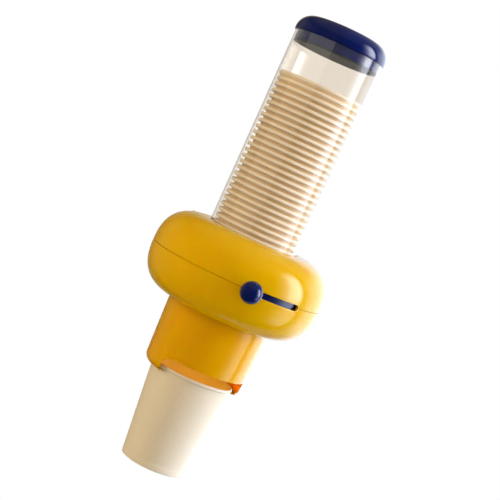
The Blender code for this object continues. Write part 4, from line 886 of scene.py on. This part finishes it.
def slot_strip():
    """The curved strip behind the slot, with a hole for the stem."""
    high = STRIP_HALF_HEIGHT
    corners = [(STRIP_INNER, -high), (STRIP_OUTER, -high), (STRIP_OUTER, high), (STRIP_INNER, high)]
    outline = filleted(corners, (0.0003,) * 4)
    half = math.radians(STRIP_HALF_ANGLE)
    strip = swept("slot_strip_band", [(half * (k / 36 - 1), outline) for k in range(73)])
    strip.data.transform(lever_place())
    bore = STEM_RADIUS + GAP
    profile = [(0.0, 0.0), (bore, 0.0), (bore, STRIP_HOLE_DEPTH), (0.0, STRIP_HOLE_DEPTH)]
    hole = turned("strip_hole", profile, closed=False, steps=HOLE_STEPS, centre=ORIGIN)
    hole.data.transform(pointing_out(STRIP_HOLE_FROM))
    cut(strip, hole)
    dress(strip, NAVY, "drive", "slot_strip")


# Pieces with the shape of their node

def rounded_copy(name, node, body):
    """A yellow piece with a node's own shape and softly rounded edges, made in a copy of its mesh."""
    mesh = NODES[node].data.copy()
    obj = placed(name, mesh)
    bm = bmesh.new()
    bm.from_mesh(mesh)
    bmesh.ops.remove_doubles(bm, verts=bm.verts, dist=COPY_MERGE_DISTANCE)
    bmesh.ops.dissolve_limit(bm, angle_limit=math.radians(1.0), verts=bm.verts, edges=bm.edges)
    bm.to_mesh(mesh)
    bm.free()
    smoothed(mesh, COPY_SHARP_ANGLE)
    round_edges(obj, COPY_EDGE, harden=True)
    apply_modifiers(obj)
    dress(obj, YELLOW, body, node)


def carried_over():
    """Nodes whose shape is right keep it and get the fuller materials."""
    steel_parts = ("wheel_axle", "housing_screw", "neck_screw", "bracket_screw", "ring_peg", "spring_post")
    looks = (
        (ACETAL, ("mechanism_base", "mechanism_cover", "separator_wheel")),
        (NAVY, ("drive_ring",)),
        (STEEL, (*steel_parts, "return_spring")),
        (RUBBER, ("stop_pad", "tube_seal")),
    )
    for name, node in NODES.items():
        for look, starts in looks:
            if name.startswith(starts):
                node.data.materials.clear()
                node.data.materials.append(look)


# Camera, seen from the user's left and a little above, rolled as the photograph is

def camera():
    turn = math.radians(CAMERA_TURN)
    aimed = turn - math.radians(CAMERA_ASIDE)
    pitch = math.radians(CAMERA_PITCH)
    roll = math.radians(CAMERA_ROLL)
    x = AXIS.x + CAMERA_DISTANCE * math.sin(turn)
    y = AXIS.y - CAMERA_DISTANCE * math.cos(turn)
    level = Vector((-math.sin(aimed), math.cos(aimed), 0.0))
    forward = level * math.cos(pitch) + rise(1) * math.sin(pitch)
    right = forward.cross(rise(1)).normalized()
    up = right.cross(forward)
    rolled_right = right * math.cos(roll) + up * math.sin(roll)
    rolled_up = up * math.cos(roll) - right * math.sin(roll)
    data = bpy.data.cameras.new("camera")
    data.lens = CAMERA_LENS
    data.sensor_width = CAMERA_SENSOR
    obj = placed("camera", data)
    facing = Matrix((rolled_right, rolled_up, -forward)).transposed().to_4x4()
    obj.matrix_world = Matrix.Translation((x, y, CAMERA_HEIGHT)) @ facing
    bpy.context.scene.camera = obj


# Lamps

def direction(degrees):
    """A level direction, by its turn to the right of the line from the object to the camera."""
    turn = math.radians(CAMERA_TURN + degrees)
    return Vector((math.sin(turn), -math.cos(turn), 0.0))


def area_lamp(name, place, aim, energy, colour):
    """A lamp that shines along aim, and shows neither in mirrors nor through the tube."""
    data = bpy.data.lights.new(name, "AREA")
    data.energy = energy
    data.color = colour
    obj = placed(name, data)
    obj.visible_glossy = False
    obj.visible_transmission = False
    obj.matrix_world = Matrix.Translation(place) @ aim.to_track_quat("-Z", "Y").to_matrix().to_4x4()
    return obj


def softbox(name, degrees, distance, height, width, tall, radiance, colour):
    """A large lamp that aims at the object. Importance sampling would lose its light through the tube."""
    place = AXIS + direction(degrees) * distance + rise(height)
    aim = AXIS + rise(LAMP_TARGET) - place
    lamp = area_lamp(name, place, aim, radiance * math.pi * width * tall, colour)
    lamp.data.shape = "RECTANGLE"
    lamp.data.size = width
    lamp.data.size_y = tall
    lamp.data.cycles.use_multiple_importance_sampling = False
    return lamp


def inner_glow(name, offset, aim, size, energy, colour):
    """A small lamp in the outlet, for what shines through the thin yellow wall above the released cup."""
    lamp = area_lamp(name, AXIS + Vector(offset), Vector(aim), energy, colour)
    lamp.data.shape = "DISK"
    lamp.data.size = size
    lamp.visible_camera = False
    return lamp


def lit_only(lamp, name):
    """Keeps a lamp's light to one piece."""
    group = bpy.data.collections.new(lamp.name + "_only")
    group.objects.link(bpy.data.objects[name])
    lamp.light_linking.receiver_collection = group


def tube_veil():
    """A pale wall on the left that shows in the clear tube only, where it ends in a sharp upright edge."""
    lamp = softbox(*VEIL_LAMP)
    lamp.data.cycles.use_multiple_importance_sampling = True
    lamp.visible_glossy = True
    lamp.visible_camera = False
    lamp.visible_diffuse = False
    lit_only(lamp, "clear_tube")


# Surroundings

def room_light(tree):
    """The light from each direction: dim room, ceiling and tall window, warm left and cool right."""
    place = add_node(tree, "ShaderNodeTexCoord").outputs["Generated"]
    split = add_node(tree, "ShaderNodeSeparateXYZ", {"Vector": place}).outputs
    up = split["Z"]
    # The turn goes from 0 to 1, to the right all round, and starts opposite the camera
    turn = maths(tree, "ARCTAN2", split["X"], maths(tree, "MULTIPLY", split["Y"], -1.0))
    turn = maths(tree, "ADD", turn, math.radians(180.0 - CAMERA_TURN))
    turn = maths(tree, "DIVIDE", maths(tree, "WRAP", turn, 2 * math.pi, 0.0), 2 * math.pi)
    away = eased(tree, maths(tree, "ABSOLUTE", up), *ROOM_FADE)
    band = spread(tree, away, 1.0, ROOM_FAR_SHARE, 0.0, 1.0)
    room = product(tree, by_degrees(tree, turn, ROOM_LEVELS), band, ROOM_STRENGTH)
    reach = product(tree, eased(tree, up, *WINDOW_FOOT), eased(tree, up, *WINDOW_HEAD))
    sill = spread(tree, eased(tree, up, *WINDOW_SILL), WINDOW_LOW_SHARE, 1.0, 0.0, 1.0)
    reach = product(tree, reach, sill)
    window = product(tree, by_degrees(tree, turn, WINDOW_LEVELS), reach, WINDOW_STRENGTH)
    ceiling = product(tree, eased(tree, up, *CEILING_RISE), CEILING_STRENGTH)
    level = maths(tree, "ADD", maths(tree, "MAXIMUM", room, ceiling), window)
    share = eased(tree, turn, COOL_FROM, COOL_TO)
    return scaled(tree, colour_mix(tree, share, (*WARM_TINT, 1.0), (*COOL_TINT, 1.0)), level)


def world():
    """The room as light, and plain white as what the camera sees behind the object."""
    made = bpy.data.worlds.new("room")
    bpy.context.scene.world = made
    made.use_nodes = True
    tree = made.node_tree
    light = room_light(tree)
    path = add_node(tree, "ShaderNodeLightPath").outputs
    # The white also shows through the tube, except where a ray was mirrored beyond its front wall
    at_front = maths(tree, "LESS_THAN", path["Transmission Depth"], FRONT_WALL_PASSES)
    mirrored = maths(tree, "SUBTRACT", path["Glossy Depth"], product(tree, at_front, 99.0))
    bounced = maths(tree, "MAXIMUM", path["Diffuse Depth"], mirrored)
    through = product(tree, path["Is Transmission Ray"], maths(tree, "LESS_THAN", bounced, 0.5))
    # Part of the light that comes in through the tube is already counted by the rays sent to the room
    diffused = maths(tree, "GREATER_THAN", path["Diffuse Depth"], 0.5)
    counted = product(tree, path["Is Transmission Ray"], diffused, COUNTED_SHARE)
    once = scaled(tree, light, maths(tree, "SUBTRACT", 1.0, counted))
    seen = maths(tree, "MAXIMUM", path["Is Camera Ray"], through)
    colour = colour_mix(tree, seen, once, (*WHITE, 1.0))
    put(tree, tree.nodes["Background"], {"Color": colour, "Strength": 1.0})


def floor():
    """A pale floor well below the dispenser. To the camera it fades to the white round it."""
    bm = bmesh.new()
    bmesh.ops.create_circle(bm, cap_ends=True, segments=96, radius=FLOOR_RADIUS)
    obj = piece("floor", bm)
    obj.location = (AXIS.x, AXIS.y, FLOOR_LEVEL)
    obj.visible_glossy = False
    made, tree, shader = new_material("pale_floor")
    put(tree, shader, {"Base Color": (*FLOOR_COLOUR, 1.0), "Roughness": 0.8})
    away = vector_maths(tree, "LENGTH", "Value", add_node(tree, "ShaderNodeTexCoord").outputs["Object"])
    camera_ray = add_node(tree, "ShaderNodeLightPath").outputs["Is Camera Ray"]
    fade = product(tree, eased(tree, away, *FLOOR_FADE), camera_ray)
    white = add_node(tree, "ShaderNodeEmission")
    shader_mix(tree, fade, shader.outputs["BSDF"], white.outputs["Emission"])
    obj.data.materials.append(made)


upper_housing()
lower_housing()
outlet_neck()
cup_tube()
lid_cap()
lid_plug()
lid_seal()
whole_cup("released_cup_paper", RELEASED_RIM_TOP, RELEASED_SEAM, ROUND_STEPS, "cup", "released_cup")
whole_cup("next_cup_paper", STACK_RIM_TOP, NEXT_SEAM, CUP_STEPS, "stack", "next_cup")
cup_stack()
lever_knob()
lever_stem()
slot_strip()
rounded_copy("rear_bracket_block", "rear_bracket", "dispenser")
rounded_copy("wall_plate_block", "wall_plate", "wall")
carried_over()

camera()
world()
floor()
for fill_lamp in FILL_LAMPS:
    softbox(*fill_lamp)
inner_glow(*THROAT_GLOW)
lit_only(inner_glow(*SIDE_GLOW), "outlet_neck_shell")
tube_veil()

scene = bpy.context.scene
scene.view_settings.view_transform = "Standard"
